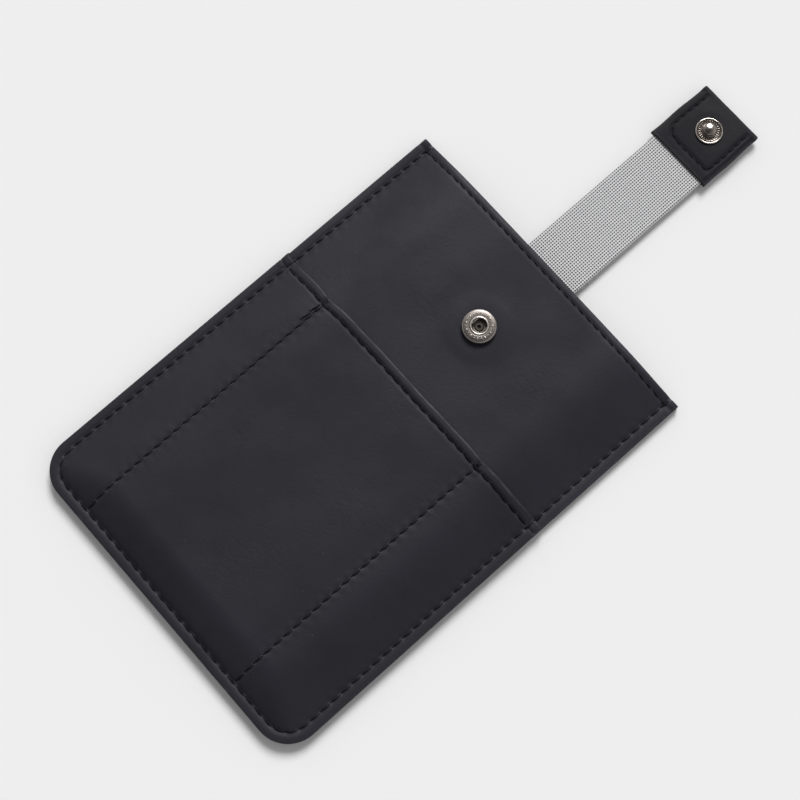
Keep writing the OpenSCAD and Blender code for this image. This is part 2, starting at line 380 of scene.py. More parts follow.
def tube_points(path: Array, normals: Array, radii: Array, around: int,
                lobes: float = 0.0, twist: float = 0.0) -> tuple[Array, Faces]:
    """Closed tube along a path, with an optional two-ply twist.

    Args:
        path: Points of the middle line.
        normals: Up direction at each point.
        radii: Radius at each point.
        around: Points round the tube.
        lobes: Depth of the twist as a share of the radius.
        twist: Turn of the twist in radians per millimetre.

    Returns:
        The points and the faces.
    """
    along = np.gradient(path, axis=0)
    along /= np.linalg.norm(along, axis=1)[:, None]
    side = np.cross(normals, along)
    side /= np.linalg.norm(side, axis=1)[:, None]
    up = np.cross(along, side)
    run = np.concatenate([[0.0], np.cumsum(np.linalg.norm(np.diff(path, axis=0), axis=1))])
    turn = np.linspace(0, TURN, around, endpoint=False)
    wave = 1 + lobes * np.cos(2 * (turn[None, :] - twist * run[:, None]))
    reach = radii[:, None] * wave
    ring = (path[:, None, :] + side[:, None, :] * (reach * np.cos(turn))[..., None]
            + up[:, None, :] * (reach * np.sin(turn))[..., None])
    count = len(path)
    faces: Faces = []
    for i in range(count - 1):
        for j in range(around):
            k = (j + 1) % around
            low, high = i * around, (i + 1) * around
            faces.append((low + j, low + k, high + k, high + j))
    faces.append(tuple(range(around))[::-1])
    faces.append(tuple(range((count - 1) * around, count * around)))
    return ring.reshape(-1, 3), faces


def join_parts(parts: Iterable[tuple[Array, Faces]]) -> tuple[Array, Faces]:
    """Points and faces of several closed shapes as one mesh.

    Args:
        parts: Points and faces of each shape.

    Returns:
        All points and all faces.
    """
    points: list[Array] = []
    faces: Faces = []
    start = 0
    for new, quads in parts:
        points.append(new)
        faces += [tuple(i + start for i in face) for face in quads]
        start += len(new)
    return np.concatenate(points), faces


def spoke(centre: Array, turn: float, reach: Array, heights: Array,
          radii: Array) -> tuple[Array, Faces]:
    """Short round bar that points away from an upright axis.

    Args:
        centre: Point of the axis that heights are measured from.
        turn: Direction of the bar in radians.
        reach: Distance from the axis of each point along it.
        heights: Height of each point.
        radii: Radius at each point.

    Returns:
        Points and faces of the bar.
    """
    out = np.array([math.cos(turn), math.sin(turn), 0.0])
    path = centre + out * reach[:, None] + UP * heights[:, None]
    return tube_points(path, np.repeat(UP, len(path), 0), radii, 8)


def spaced(values: Iterable[float], gap: float = CLOSEST) -> Array:
    """Values in rising order, without those within the gap of the one before."""
    found = np.array(sorted(values))
    return found[np.concatenate([[True], np.diff(found) > gap])]


def level(height: float) -> Surface:
    """Flat surface at one height."""
    return lambda x, y: np.full(np.shape(x), height)


# ---- Shader tools ----


def feed_socket(tree: bpy.types.NodeTree, socket: bpy.types.NodeSocket, value: object) -> None:
    """Links a source to an input socket, or sets the socket to a plain value."""
    if isinstance(value, bpy.types.NodeSocket):
        tree.links.new(value, socket)
    else:
        socket.default_value = value


class NodeSketch:
    """Adds nodes to one tree and links them."""

    def __init__(self, tree: bpy.types.NodeTree) -> None:
        """Keeps the tree that nodes go into."""
        self.tree = tree
        self.count = 0

    def add(self, kind: str, inputs: dict | None = None, **props: object) -> bpy.types.Node:
        """Adds one node.

        Args:
            kind: Type name of the node.
            inputs: Value, or source socket, for each input by name or number.
            props: Settings of the node itself.

        Returns:
            The new node.
        """
        made = self.tree.nodes.new(kind)
        made.location = (200 * (self.count % 8), -260 * (self.count // 8))
        self.count += 1
        for name, value in props.items():
            setattr(made, name, value)
        for name, value in (inputs or {}).items():
            feed_socket(self.tree, made.inputs[name], value)
        return made

    def calc(self, operation: str, a: object, b: object = 0.0, c: object = 0.0,
             clamp: bool = False) -> bpy.types.NodeSocket:
        """Result of one Math node.

        Args:
            operation: Name of the operation.
            a: First value or socket.
            b: Second value or socket.
            c: Third value or socket.
            clamp: Whether the result stays between 0 and 1.

        Returns:
            The node's output.
        """
        made = self.add("ShaderNodeMath", {0: a, 1: b, 2: c}, operation=operation,
                        use_clamp=clamp)
        return made.outputs[0]

    def blend(self, factor: object, a: object, b: object) -> bpy.types.NodeSocket:
        """Mix of two colours by a factor.

        Args:
            factor: Value or socket, 0 for a and 1 for b.
            a: First colour or socket.
            b: Second colour or socket.

        Returns:
            The mixed colour.
        """
        made = self.add("ShaderNodeMix", data_type="RGBA", blend_type="MIX")
        for number, value in ((0, factor), (6, a), (7, b)):
            feed_socket(self.tree, made.inputs[number], value)
        return made.outputs[2]

    def ramp(self, factor: bpy.types.NodeSocket, low: float, high: float,
             out_low: float = 0.0, out_high: float = 1.0) -> bpy.types.NodeSocket:
        """Value carried smoothly from one range to another.

        Args:
            factor: Source value.
            low: Source value that gives out_low.
            high: Source value that gives out_high.
            out_low: Result at low.
            out_high: Result at high.

        Returns:
            The result.
        """
        made = self.add("ShaderNodeMapRange", {0: factor, 1: low, 2: high, 3: out_low,
                        4: out_high}, interpolation_type="SMOOTHSTEP")
        return made.outputs[0]


def rgba(red: float, green: float, blue: float) -> tuple[float, float, float, float]:
    """Opaque colour."""
    return (red, green, blue, 1.0)


def shaded(colour: tuple[float, float, float],
           *shares: float) -> tuple[float, float, float, float]:
    """Opaque colour scaled by one share, or by one for each channel."""
    scales = shares * 3 if len(shares) == 1 else shares
    return rgba(*(channel * scale for channel, scale in zip(colour, scales)))


class EffectGroup:
    """A shader node group that several finishes share."""

    def __init__(self, name: str, inputs: dict[str, tuple[str, object]],
                 outputs: dict[str, str]) -> None:
        """Makes the empty group.

        Args:
            name: Name of the group.
            inputs: Socket kind and default of each input.
            outputs: Socket kind of each output.
        """
        self.tree = bpy.data.node_groups.new(name, "ShaderNodeTree")
        for label, (kind, default) in inputs.items():
            made = self.tree.interface.new_socket(label, in_out="INPUT", socket_type=kind)
            if default is not None:
                made.default_value = default
        for label, kind in outputs.items():
            self.tree.interface.new_socket(label, in_out="OUTPUT", socket_type=kind)
        self.sketch = NodeSketch(self.tree)
        self.given = self.sketch.add("NodeGroupInput").outputs
        self.result = self.sketch.add("NodeGroupOutput").inputs

    def put(self, label: str, socket: bpy.types.NodeSocket) -> None:
        """Links a socket to one output."""
        self.tree.links.new(socket, self.result[label])


FLOAT, VECTOR = "NodeSocketFloat", "NodeSocketVector"


class Effects:
    """Grain, wear with painted highlight and shade, dust and weave, each built once."""

    def __init__(self) -> None:
        """Builds the four groups."""
        self.grain = self._grain()
        self.wear_highlight = self._wear_highlight()
        self.dust = self._dust()
        self.weave = self._weave()

    @staticmethod
    def _grain() -> bpy.types.NodeTree:
        """Pores, fine creases and slow mottling of smooth leather."""
        group = EffectGroup("leather_grain", {"Place": (VECTOR, None),
                            "Pore Scale": (FLOAT, 1400.0), "Crease Scale": (FLOAT, 330.0)},
                            {"Height": FLOAT, "Mottle": FLOAT, "Crease": FLOAT})
        s, given = group.sketch, group.given
        pores = s.add("ShaderNodeTexVoronoi", {"Vector": given["Place"],
                      "Scale": given["Pore Scale"], "Randomness": 0.95}, feature="SMOOTH_F1")
        skin = s.add("ShaderNodeTexNoise", {"Vector": given["Place"],
                     "Scale": s.calc("MULTIPLY", given["Pore Scale"], 0.35), "Detail": 5.0,
                     "Roughness": 0.6})
        warp = s.add("ShaderNodeTexNoise", {"Vector": given["Place"],
                     "Scale": s.calc("MULTIPLY", given["Crease Scale"], 0.4), "Detail": 3.0})
        bent = s.add("ShaderNodeVectorMath", {0: warp.outputs["Color"],
                     1: (0.006, 0.006, 0.006)}, operation="MULTIPLY")
        moved = s.add("ShaderNodeVectorMath", {0: given["Place"], 1: bent.outputs[0]},
                      operation="ADD")
        stretch = s.add("ShaderNodeVectorMath", {0: moved.outputs[0], 1: (0.45, 1.0, 1.0)},
                        operation="MULTIPLY")
        cracks = s.add("ShaderNodeTexVoronoi", {"Vector": stretch.outputs[0],
                       "Scale": given["Crease Scale"]}, feature="DISTANCE_TO_EDGE")
        line = s.ramp(cracks.outputs["Distance"], 0.0, 0.13, 1.0, 0.0)
        patch = s.add("ShaderNodeTexNoise", {"Vector": given["Place"], "Scale": 60.0,
                      "Detail": 2.0})
        where = s.ramp(patch.outputs["Fac"], 0.5, 0.68)
        crease = s.calc("MULTIPLY", line, where)
        rise = s.calc("MULTIPLY_ADD", pores.outputs["Distance"], 0.5,
                      s.calc("MULTIPLY", skin.outputs["Fac"], 0.7))
        group.put("Height", s.calc("SUBTRACT", rise, s.calc("MULTIPLY", crease, 0.3)))
        cloud = s.add("ShaderNodeTexNoise", {"Vector": given["Place"], "Scale": 38.0,
                      "Detail": 5.0, "Roughness": 0.55})
        group.put("Mottle", s.ramp(cloud.outputs["Fac"], 0.3, 0.7))
        group.put("Crease", crease)
        return group.tree

    @staticmethod
    def _wear_highlight() -> bpy.types.NodeTree:
        """Broken wear, painted highlight and painted shade, from the values marked on a piece's
        points.
        """
        group = EffectGroup("rubbed_edges", {"Place": (VECTOR, None), "Scale": (FLOAT, 900.0),
                            "Breakup": (FLOAT, 0.5)}, {"Mask": FLOAT})
        s, given = group.sketch, group.given
        wear_and_glint = s.add("ShaderNodeAttribute", attribute_name="rub")
        noise = s.add("ShaderNodeTexNoise", {"Vector": given["Place"], "Scale": given["Scale"],
                      "Detail": 4.0})
        uneven = s.calc("MULTIPLY", s.calc("SUBTRACT", noise.outputs["Fac"], 0.5),
                        given["Breakup"])
        mask = s.calc("ADD", wear_and_glint.outputs["Fac"], uneven, clamp=True)
        group.put("Mask", s.calc("MULTIPLY", mask, s.ramp(wear_and_glint.outputs["Fac"], 0.0, 0.15)))
        return group.tree

    @staticmethod
    def _dust() -> bpy.types.NodeTree:
        """Sparse specks of lint and dust."""
        group = EffectGroup("dust_specks", {"Place": (VECTOR, None), "Scale": (FLOAT, 700.0),
                            "Amount": (FLOAT, 0.5)}, {"Mask": FLOAT})
        s, given = group.sketch, group.given
        specks = s.add("ShaderNodeTexVoronoi", {"Vector": given["Place"],
                       "Scale": given["Scale"], "Randomness": 1.0}, feature="F1")
        dot = s.ramp(specks.outputs["Distance"], 0.05, 0.12, 1.0, 0.0)
        pick = s.add("ShaderNodeSeparateColor", {0: specks.outputs["Color"]})
        rare = s.calc("GREATER_THAN", pick.outputs[0], 0.975)
        group.put("Mask", s.calc("MULTIPLY", s.calc("MULTIPLY", dot, rare), given["Amount"]))
        return group.tree

    @staticmethod
    def _weave() -> bpy.types.NodeTree:
        """Plain weave: threads that pass over and under each other."""
        group = EffectGroup("plain_weave", {"Place": (VECTOR, None), "Across": (FLOAT, 0.0007),
                            "Along": (FLOAT, 0.0009)},
                            {"Height": FLOAT, "Dash": FLOAT})
        s, given = group.sketch, group.given
        place = s.add("ShaderNodeSeparateXYZ", {0: given["Place"]})
        u = s.calc("DIVIDE", place.outputs[0], given["Across"])
        v = s.calc("DIVIDE", place.outputs[1], given["Along"])
        hump_u = s.calc("ABSOLUTE", s.calc("SINE", s.calc("MULTIPLY", u, math.pi)))
        hump_v = s.calc("ABSOLUTE", s.calc("SINE", s.calc("MULTIPLY", v, math.pi)))
        rise_u = s.calc("POWER", hump_u, 0.6)
        rise_v = s.calc("POWER", hump_v, 0.6)
        group.put("Height", s.calc("MULTIPLY", rise_u, rise_v))
        gap = s.ramp(hump_u, 0.58, 0.86, 1.0, 0.0)
        group.put("Dash", s.calc("MULTIPLY", gap, s.ramp(hump_v, 0.38, 0.7)))
        return group.tree


class Finish:
    """One material in the making."""

    def __init__(self, name: str) -> None:
        """Makes the material with its surface shader.

        Args:
            name: Name of the material.
        """
        self.material = bpy.data.materials.new(name)
        self.material.use_nodes = True
        self.tree = self.material.node_tree
        self.tree.nodes.clear()
        self.sketch = NodeSketch(self.tree)
        self.shader = self.sketch.add("ShaderNodeBsdfPrincipled")
        output = self.sketch.add("ShaderNodeOutputMaterial")
        self.tree.links.new(self.shader.outputs[0], output.inputs["Surface"])

    def place(self) -> bpy.types.NodeSocket:
        """Place on the piece in metres."""
        return self.sketch.add("ShaderNodeTexCoord").outputs["Object"]

    def cloth(self) -> bpy.types.NodeSocket:
        """Place on the flat cloth in metres."""
        return self.sketch.add("ShaderNodeAttribute", attribute_name="cloth").outputs["Vector"]

    def group(self, tree: bpy.types.NodeTree, inputs: dict) -> bpy.types.Node:
        """Places an effect group.

        Args:
            tree: The group.
            inputs: Value or source of each input.

        Returns:
            The group's node.
        """
        made = self.sketch.add("ShaderNodeGroup", node_tree=tree)
        for name, value in inputs.items():
            feed_socket(self.tree, made.inputs[name], value)
        return made

    def feed(self, name: str, value: object) -> None:
        """Sets or links one input of the surface shader."""
        feed_socket(self.tree, self.shader.inputs[name], value)

    def emboss(self, height: bpy.types.NodeSocket, depth: float, strength: float = 1.0) -> None:
        """Raises the surface by a height.

        Args:
            height: Source height, about 0 to 1.
            depth: Real depth of a height of 1, in millimetres.
            strength: Share of the effect that is used.
        """
        made = self.sketch.add("ShaderNodeBump", {"Strength": strength, "Distance": depth * MM,
                               "Height": height})
        self.feed("Normal", made.outputs[0])


@dataclass(frozen=True)
class LeatherFinish:
    """Matte charcoal leather with fine pores and creases, painted shade in the creases, and edges
    lightened by wear and a painted highlight.
    """

    name: str
    colour: tuple[float, float, float] = (0.0148, 0.0141, 0.0206)
    roughness: float = 0.60
    grain_depth: float = 0.05
    specular: float = 0.22

    def make(self, effects: Effects) -> bpy.types.Material:
        """Builds the material.

        Args:
            effects: The shared effect groups.

        Returns:
            The material.
        """
        finish = Finish(self.name)
        s, place = finish.sketch, finish.place()
        grain = finish.group(effects.grain, {"Place": place})
        rub = finish.group(effects.wear_highlight, {"Place": place, "Scale": 700.0, "Breakup": 0.7})
        dust = finish.group(effects.dust, {"Place": place, "Scale": 420.0, "Amount": 0.10})
        base = s.blend(grain.outputs["Mottle"], shaded(self.colour, 0.84, 0.84, 0.86),
                       shaded(self.colour, 1.14, 1.13, 1.12))
        # Creases painted darker: painted shade in the creases.
        crease_shaded = s.blend(s.calc("MULTIPLY", grain.outputs["Crease"], 0.15), base,
                          shaded(self.colour, 0.5))
        # Lighter colour where wear and a painted highlight are marked.
        highlit_wear_tone = s.blend(s.calc("MULTIPLY", rub.outputs["Mask"], 0.6), crease_shaded,
                         shaded(self.colour, 5.5, 5.6, 4.6))
        finish.feed("Base Color", s.blend(dust.outputs["Mask"], highlit_wear_tone, rgba(0.3, 0.3, 0.31)))
        smooth = s.ramp(grain.outputs["Mottle"], 0.0, 1.0, self.roughness + 0.05,
                        self.roughness - 0.05)
        finish.feed("Roughness", s.calc("SUBTRACT", smooth,
                    s.calc("MULTIPLY", rub.outputs["Mask"], 0.12)))
        finish.feed("Specular IOR Level", self.specular)
        finish.feed("Sheen Weight", 0.03)
        finish.emboss(grain.outputs["Height"], self.grain_depth)
        return finish.material


@dataclass(frozen=True)
class ThreadFinish:
    """Black twisted sewing thread."""

    name: str = "black_thread"
    colour: tuple[float, float, float] = (0.0045, 0.0045, 0.006)

    def make(self, effects: Effects) -> bpy.types.Material:
        """Builds the material.

        Args:
            effects: The shared effect groups.

        Returns:
            The material.
        """
        finish = Finish(self.name)
        s, place = finish.sketch, finish.place()
        fuzz = s.add("ShaderNodeTexNoise", {"Vector": place, "Scale": 4200.0, "Detail": 3.0})
        dust = finish.group(effects.dust, {"Place": place, "Scale": 1600.0, "Amount": 0.25})
        base = s.blend(fuzz.outputs["Fac"], shaded(self.colour, 0.6),
                       shaded(self.colour, 1.9))
        finish.feed("Base Color", s.blend(dust.outputs["Mask"], base, rgba(0.25, 0.25, 0.26)))
        finish.feed("Roughness", s.ramp(fuzz.outputs["Fac"], 0.3, 0.7, 0.5, 0.7))
        finish.feed("Specular IOR Level", 0.12)
        finish.emboss(fuzz.outputs["Fac"], 0.05)
        return finish.material


@dataclass(frozen=True)
class LiningFinish:
    """Black woven lining cloth, painted darker between its threads as shade."""

    name: str = "black_lining"
    colour: tuple[float, float, float] = (0.012, 0.012, 0.014)
    pitch: float = 0.32

    def make(self, effects: Effects) -> bpy.types.Material:
        """Builds the material.

        Args:
            effects: The shared effect groups.

        Returns:
            The material.
        """
        finish = Finish(self.name)
        s, place = finish.sketch, finish.place()
        weave = finish.group(effects.weave, {"Place": place, "Across": self.pitch * MM,
                             "Along": self.pitch * MM})
        dust = finish.group(effects.dust, {"Place": place, "Scale": 500.0, "Amount": 0.4})
        # Darker where the weave dips: painted shade between the threads.
        base = s.blend(weave.outputs["Height"], shaded(self.colour, 0.4),
                       shaded(self.colour, 1.4))
        finish.feed("Base Color", s.blend(dust.outputs["Mask"], base, rgba(0.2, 0.2, 0.2)))
        finish.feed("Roughness", s.ramp(weave.outputs["Height"], 0.0, 1.0, 0.85, 0.6))
        finish.feed("Sheen Weight", 0.2)
        finish.emboss(weave.outputs["Height"], 0.06)
        return finish.material


@dataclass(frozen=True)
class WebbingFinish:
    """Ribbed webbing: white picks with grey painted shade between them, crossed by short dark dashes.
    """

    name: str = "ribbed_webbing"
    dash: float = 0.85
    row: float = 0.85

    def make(self, effects: Effects) -> bpy.types.Material:
        """Builds the material.

        Args:
            effects: The shared effect groups.

        Returns:
            The material.
        """
        finish = Finish(self.name)
        s, place = finish.sketch, finish.cloth()
        weave = finish.group(effects.weave, {"Place": place, "Across": self.dash * MM,
                             "Along": self.row * MM})
        fine = finish.group(effects.weave, {"Place": place, "Across": self.dash * MM / 3,
                            "Along": self.row * MM / 2})
        cloud = s.add("ShaderNodeTexNoise", {"Vector": place, "Scale": 900.0, "Detail": 3.0})
        dust = finish.group(effects.dust, {"Place": place, "Scale": 900.0, "Amount": 0.2})
        light = s.blend(cloud.outputs["Fac"], rgba(0.66, 0.66, 0.67), rgba(0.90, 0.90, 0.91))
        # Grey where the fine weave dips: painted shade between the picks.
        picks = s.blend(s.ramp(fine.outputs["Height"], 0.0, 0.7), rgba(0.34, 0.34, 0.35), light)
        base = s.blend(s.calc("MULTIPLY", weave.outputs["Dash"], 0.95), picks,
                       rgba(0.012, 0.012, 0.012))
        finish.feed("Base Color", s.blend(dust.outputs["Mask"], base, rgba(0.5, 0.5, 0.5)))
        finish.feed("Roughness", s.ramp(fine.outputs["Height"], 0.0, 1.0, 0.8, 0.55))
        finish.feed("Sheen Weight", 0.12)
        both = s.calc("MULTIPLY_ADD", weave.outputs["Height"], 0.7,
                      s.calc("MULTIPLY", fine.outputs["Height"], 0.3))
        finish.emboss(both, 0.12)
        return finish.material


@dataclass(frozen=True)
class MetalFinish:
    """Plated metal in a dark tone, brighter where wear and a painted highlight are marked, darkest
    where shade is painted.
    """

    name: str
    bright: tuple[float, float, float] = (0.62, 0.57, 0.53)
    dark: tuple[float, float, float] = (0.115, 0.10, 0.088)
    roughness: float = 0.36
    breakup: float = 0.35

    def make(self, effects: Effects) -> bpy.types.Material:
        """Builds the material.

        Args:
            effects: The shared effect groups.

        Returns:
            The material.
        """
        finish = Finish(self.name)
        s, place = finish.sketch, finish.place()
        rub = finish.group(effects.wear_highlight, {"Place": place, "Scale": 1300.0,
                           "Breakup": self.breakup})
        dust = finish.group(effects.dust, {"Place": place, "Scale": 2200.0, "Amount": 0.3})
        haze = s.add("ShaderNodeTexNoise", {"Vector": place, "Scale": 2600.0, "Detail": 4.0})
        base = s.blend(rub.outputs["Mask"], rgba(*self.dark), rgba(*self.bright))
        finish.feed("Base Color", s.blend(dust.outputs["Mask"], base, rgba(0.3, 0.28, 0.25)))
        finish.feed("Metallic", 1.0)
        blur = s.ramp(haze.outputs["Fac"], 0.3, 0.7, self.roughness - 0.05,
                      self.roughness + 0.08)
        finish.feed("Roughness", s.calc("SUBTRACT", blur,
                    s.calc("MULTIPLY", rub.outputs["Mask"], 0.06)))
        finish.emboss(haze.outputs["Fac"], 0.007)
        return finish.material


@dataclass(frozen=True)
class FloorFinish:
    """Plain pale floor."""

    name: str = "pale_floor"
    grey: float = 0.80

    def make(self, effects: Effects) -> bpy.types.Material:
        """Builds the material.

        Args:
            effects: The shared effect groups, of which a floor takes none.

        Returns:
            The material.
        """
        finish = Finish(self.name)
        finish.feed("Base Color", rgba(self.grey, self.grey, self.grey))
        finish.feed("Roughness", 0.9)
        finish.feed("Specular IOR Level", 0.1)
        return finish.material


@dataclass
class Wardrobe:
    """Every material of the wallet, built once."""

    effects: Effects = field(default_factory=Effects)
    made: dict[str, bpy.types.Material] = field(default_factory=dict)

    def get(self, finish: object) -> bpy.types.Material:
        """Material of one finish.

        Args:
            finish: A finish with a name and a make method.

        Returns:
            The material.
        """
        if finish.name not in self.made:
            self.made[finish.name] = finish.make(self.effects)
        return self.made[finish.name]


PANEL_LEATHER = LeatherFinish("panel_leather")
POCKET_LEATHER = LeatherFinish("pocket_leather", colour=(0.0138, 0.0132, 0.0193))
TAB_LEATHER = LeatherFinish("tab_leather", colour=(0.0088, 0.0084, 0.0118),
                            specular=0.14)
BLACK_THREAD = ThreadFinish()
BLACK_LINING = LiningFinish()
RIBBED_WEBBING = WebbingFinish()
SNAP_NICKEL = MetalFinish("snap_nickel")
STUD_NICKEL = MetalFinish("stud_nickel", bright=(0.66, 0.60, 0.55), dark=(0.125, 0.105, 0.09),
                          roughness=0.17, breakup=0.15)
SPRING_STEEL = MetalFinish("spring_steel", bright=(0.24, 0.21, 0.19), dark=(0.08, 0.07, 0.06))


# ---- The form of the pouch ----


@dataclass(frozen=True)
class PouchForm:
    """Outline and heights that the panels, the pocket and the seams share."""

    half_width: float
    bottom: float
    mouth: float
    face: float
    pocket_top: float
    snap_y: float
    border_top: float = 3.0
    corner: float = 11.5
    panel_t: float = 1.2
    pocket_t: float = 1.1
    hem_extra: float = 0.3
    seam_in: float = 3.4
    seam_end: float = 0.8
    back_seam_z: float = 0.53
    mouth_seam_in: float = 2.8
    mouth_seam_end: float = 2.4
    mouth_hem: float = 6.5
    mouth_back: float = 0.8
    mouth_reach: float = 14.0
    sag_reach: float = 12.0
    flat_border: float = 3.9
    side_swell: float = 24.0
    bottom_swell: float = 12.5
    crown: float = 0.3
    edge_r: float = 0.42
    pitch: float = 4.2
    mouth_pitch: float = 3.5
    divider_pitch: float = 3.9
    hem_width: float = 3.4
    hem_seam_up: float = 0.15
    hem_seam_end: float = 4.2
    divider_start: float = 0.2
    divider_end: float = 0.6
    divider_left: float = -38.3
    divider_right: float = 32.7
    snap_flat_r: float = 5.7

    @classmethod
    def from_frame(cls) -> PouchForm:
        """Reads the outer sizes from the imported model."""
        low, high = mm_box("front_panel")
        snap_low, snap_high = mm_box("snap_socket")
        _, pocket_high = mm_box("front_pocket")
        return cls(half_width=high[0], bottom=low[1], mouth=high[1], face=high[2],
                   pocket_top=pocket_high[1], snap_y=(snap_low[1] + snap_high[1]) / 2)

    def half_at(self, y: Array) -> Array:
        """Half width of the outline at a height y."""
        over = np.clip(self.corner - (y - self.bottom), 0.0, self.corner)
        return self.half_width - self.corner + np.sqrt(self.corner ** 2 - over ** 2)

    def corner_rows(self) -> set[float]:
        """Rows y that follow the two round corners at the bottom."""
        turns = np.radians(np.arange(0, 90, 7.5))
        rows = {self.bottom + self.corner * (1 - math.cos(t)) for t in turns}
        return rows | set(np.arange(self.bottom + 1.0, self.bottom + self.corner, 0.6))

    def spread(self, rows: set[float], top: float, bands: Iterable[tuple[float, float, float]],
               step: float) -> tuple[Array, Array]:
        """Grid of places that fills the outline.

        Args:
            rows: Heights y of the rows.
            top: Height y of the last row.
            bands: Centre, half width and line distance of each detailed band across.
            step: Distance between plain lines across.

        Returns:
            Grids of x and y.
        """
        ys = spaced(rows | {top - e for e in EDGE_LINES})
        ys[-1] = top
        xs = set(lines(-self.half_width, self.half_width, step, bands))
        xs |= {side.value * (self.half_width - e) for side in Side for e in EDGE_LINES}
        us = spaced(xs) / self.half_width
        us[0], us[-1] = -1.0, 1.0
        return us[None, :] * self.half_at(ys)[:, None], np.repeat(ys[:, None], len(us), 1)

    def edge(self, x: Array, y: Array) -> Array:
        """Distance inwards from the sewn edge of the outline."""
        dx, dy = self.half_width - np.abs(x), y - self.bottom
        plain = np.minimum(dx, dy)
        turn = self.corner - np.hypot(self.corner - dx, self.corner - dy)
        return np.where((dx < self.corner) & (dy < self.corner), turn, plain)

    def swell(self, x: Array, y: Array) -> Array:
        """Share of the full height that the filled pouch reaches, from 0 to 1."""
        dx = self.half_width - np.abs(x) - self.flat_border
        dy = y - self.bottom - self.flat_border
        across = np.clip(dx / self.side_swell, 0.0, 1.0)
        along = np.clip(dy / self.bottom_swell, 0.0, 1.0)
        rise_x = 0.5 * ease(across) + 0.5 * (1 - (1 - across) ** 2)
        rise_y = 0.25 * ease(along) + 0.75 * (1 - (1 - along) ** 2)
        return np.clip(soft_min(rise_x, rise_y, 0.5), 0.0, 1.0)

    def gap(self, run: Array, pitch: float) -> Array:
        """Share from 0 to 1 of a lighter spot between two stitches of a row.

        Args:
            run: Distance along the row from its first hole.
            pitch: Distance between holes.

        Returns:
            The share.
        """
        return np.clip(1.25 * np.cos(TURN * run / pitch), 0.0, 1.0) ** 6

    def border_gaps(self, x: Array, y: Array) -> Array:
        """Lighter spots between the stitches of the border seam."""
        across, low = self.half_width - self.corner, self.bottom + self.corner
        top = self.mouth - self.seam_end
        length = 2 * (top - low) + math.pi * (self.corner - self.seam_in) + 2 * across
        pitch = length / round(length / self.pitch)
        on_bottom = (y - self.bottom) < (self.half_width - np.abs(x))
        run = np.where(on_bottom, x + length / 2, top - y)
        return self.gap(run, pitch) * bump_at(self.edge(x, y) - self.seam_in, 0.5)

    def needle_gaps(self, x: Array, y: Array) -> Array:
        """Lighter spots between the stitches of every seam on the pocket."""
        reach = self.half_width - self.hem_seam_end
        pitch = 2 * reach / round(2 * reach / self.pitch)
        e = self.pocket_top - y
        hem = self.gap(x + reach, pitch) * bump_at(e - self.hem_width + self.hem_seam_up, 0.5)
        top = self.pocket_top - self.hem_width - self.divider_start - self.hem_pull(x, y)
        length = top - self.bottom - self.seam_in - self.divider_end
        step = length / np.round(length / self.divider_pitch)
        q = self.divider_gap(x)
        divider = self.gap(top - y, step) * bump_at(q, 0.45) * (y < top)
        return np.maximum(self.border_gaps(x, y), 0.8 * np.maximum(hem, divider))

    def pucker(self, x: Array, y: Array) -> Array:
        """Gathers that the border seam pulls into the leather."""
        on_bottom = (y - self.bottom) < (self.half_width - np.abs(x))
        run = np.where(on_bottom, x, y)
        d = self.edge(x, y)
        wave = np.cos(TURN * run / self.pitch)
        return wave * 0.07 * bump_at(d - self.seam_in - 1.0, 1.4)

    def border(self, x: Array, y: Array) -> Array:
        """Groove of the border seam and the soft lip outside it."""
        d = self.edge(x, y)
        groove = -0.34 * bump_at(d - self.seam_in, 0.75)
        lip = 0.06 * bump_at(d - 1.6, 1.0)
        return groove + lip + self.pucker(x, y)

    def mouth_pull(self, x: Array, y: Array) -> Array:
        """How far the raised front draws its mouth edge back at a point."""
        fade = ease((self.mouth_reach - (self.mouth - y)) / self.mouth_reach)
        return self.mouth_back * self.swell(x, y) * fade

    def edge_drop(self, distance: Array) -> Array:
        """How far a cut edge of the leather falls away, rounded."""
        inside = np.clip(self.edge_r - distance, 0.0, self.edge_r)
        return self.edge_r - np.sqrt(self.edge_r ** 2 - inside ** 2)

    def front(self, x: Array, y: Array) -> Array:
        """Outer height of the front panel, without its cut edges."""
        full = self.face - self.border_top
        swell = self.swell(x, y)
        rise = self.border_top + full * swell
        rise = rise + self.crown * swell * (1 - (x / self.half_width) ** 2)
        rise = rise + swell * (0.10 * ripple(x, y, 46.0, 5) + 0.045 * ripple(x, y, 17.0, 8))
        r = np.hypot(x, y - self.snap_y)
        held = bump_at(np.clip(r - self.snap_flat_r, 0.0, None), 4.2)
        rise = rise * (1 - held) + (self.face + 0.02) * held
        rise = rise + 0.12 * bump_at(r - 9.5, 2.0)
        m = self.mouth - y
        rise = rise - 0.30 * bump_at(m - self.mouth_seam_in, 0.75)
        wave = np.cos(TURN * x / self.mouth_pitch)
        rise = rise + 0.06 * wave * bump_at(m - self.mouth_seam_in - 0.9, 1.2)
        rise = rise - 0.75 * np.clip(1 - m / 2.6, 0.0, 1.0) ** 2 * swell
        return rise + self.border(x, y)

    def divider_gap(self, x: Array) -> Array:
        """Distance from the nearer divider seam."""
        return np.minimum(np.abs(x - self.divider_left), np.abs(x - self.divider_right))

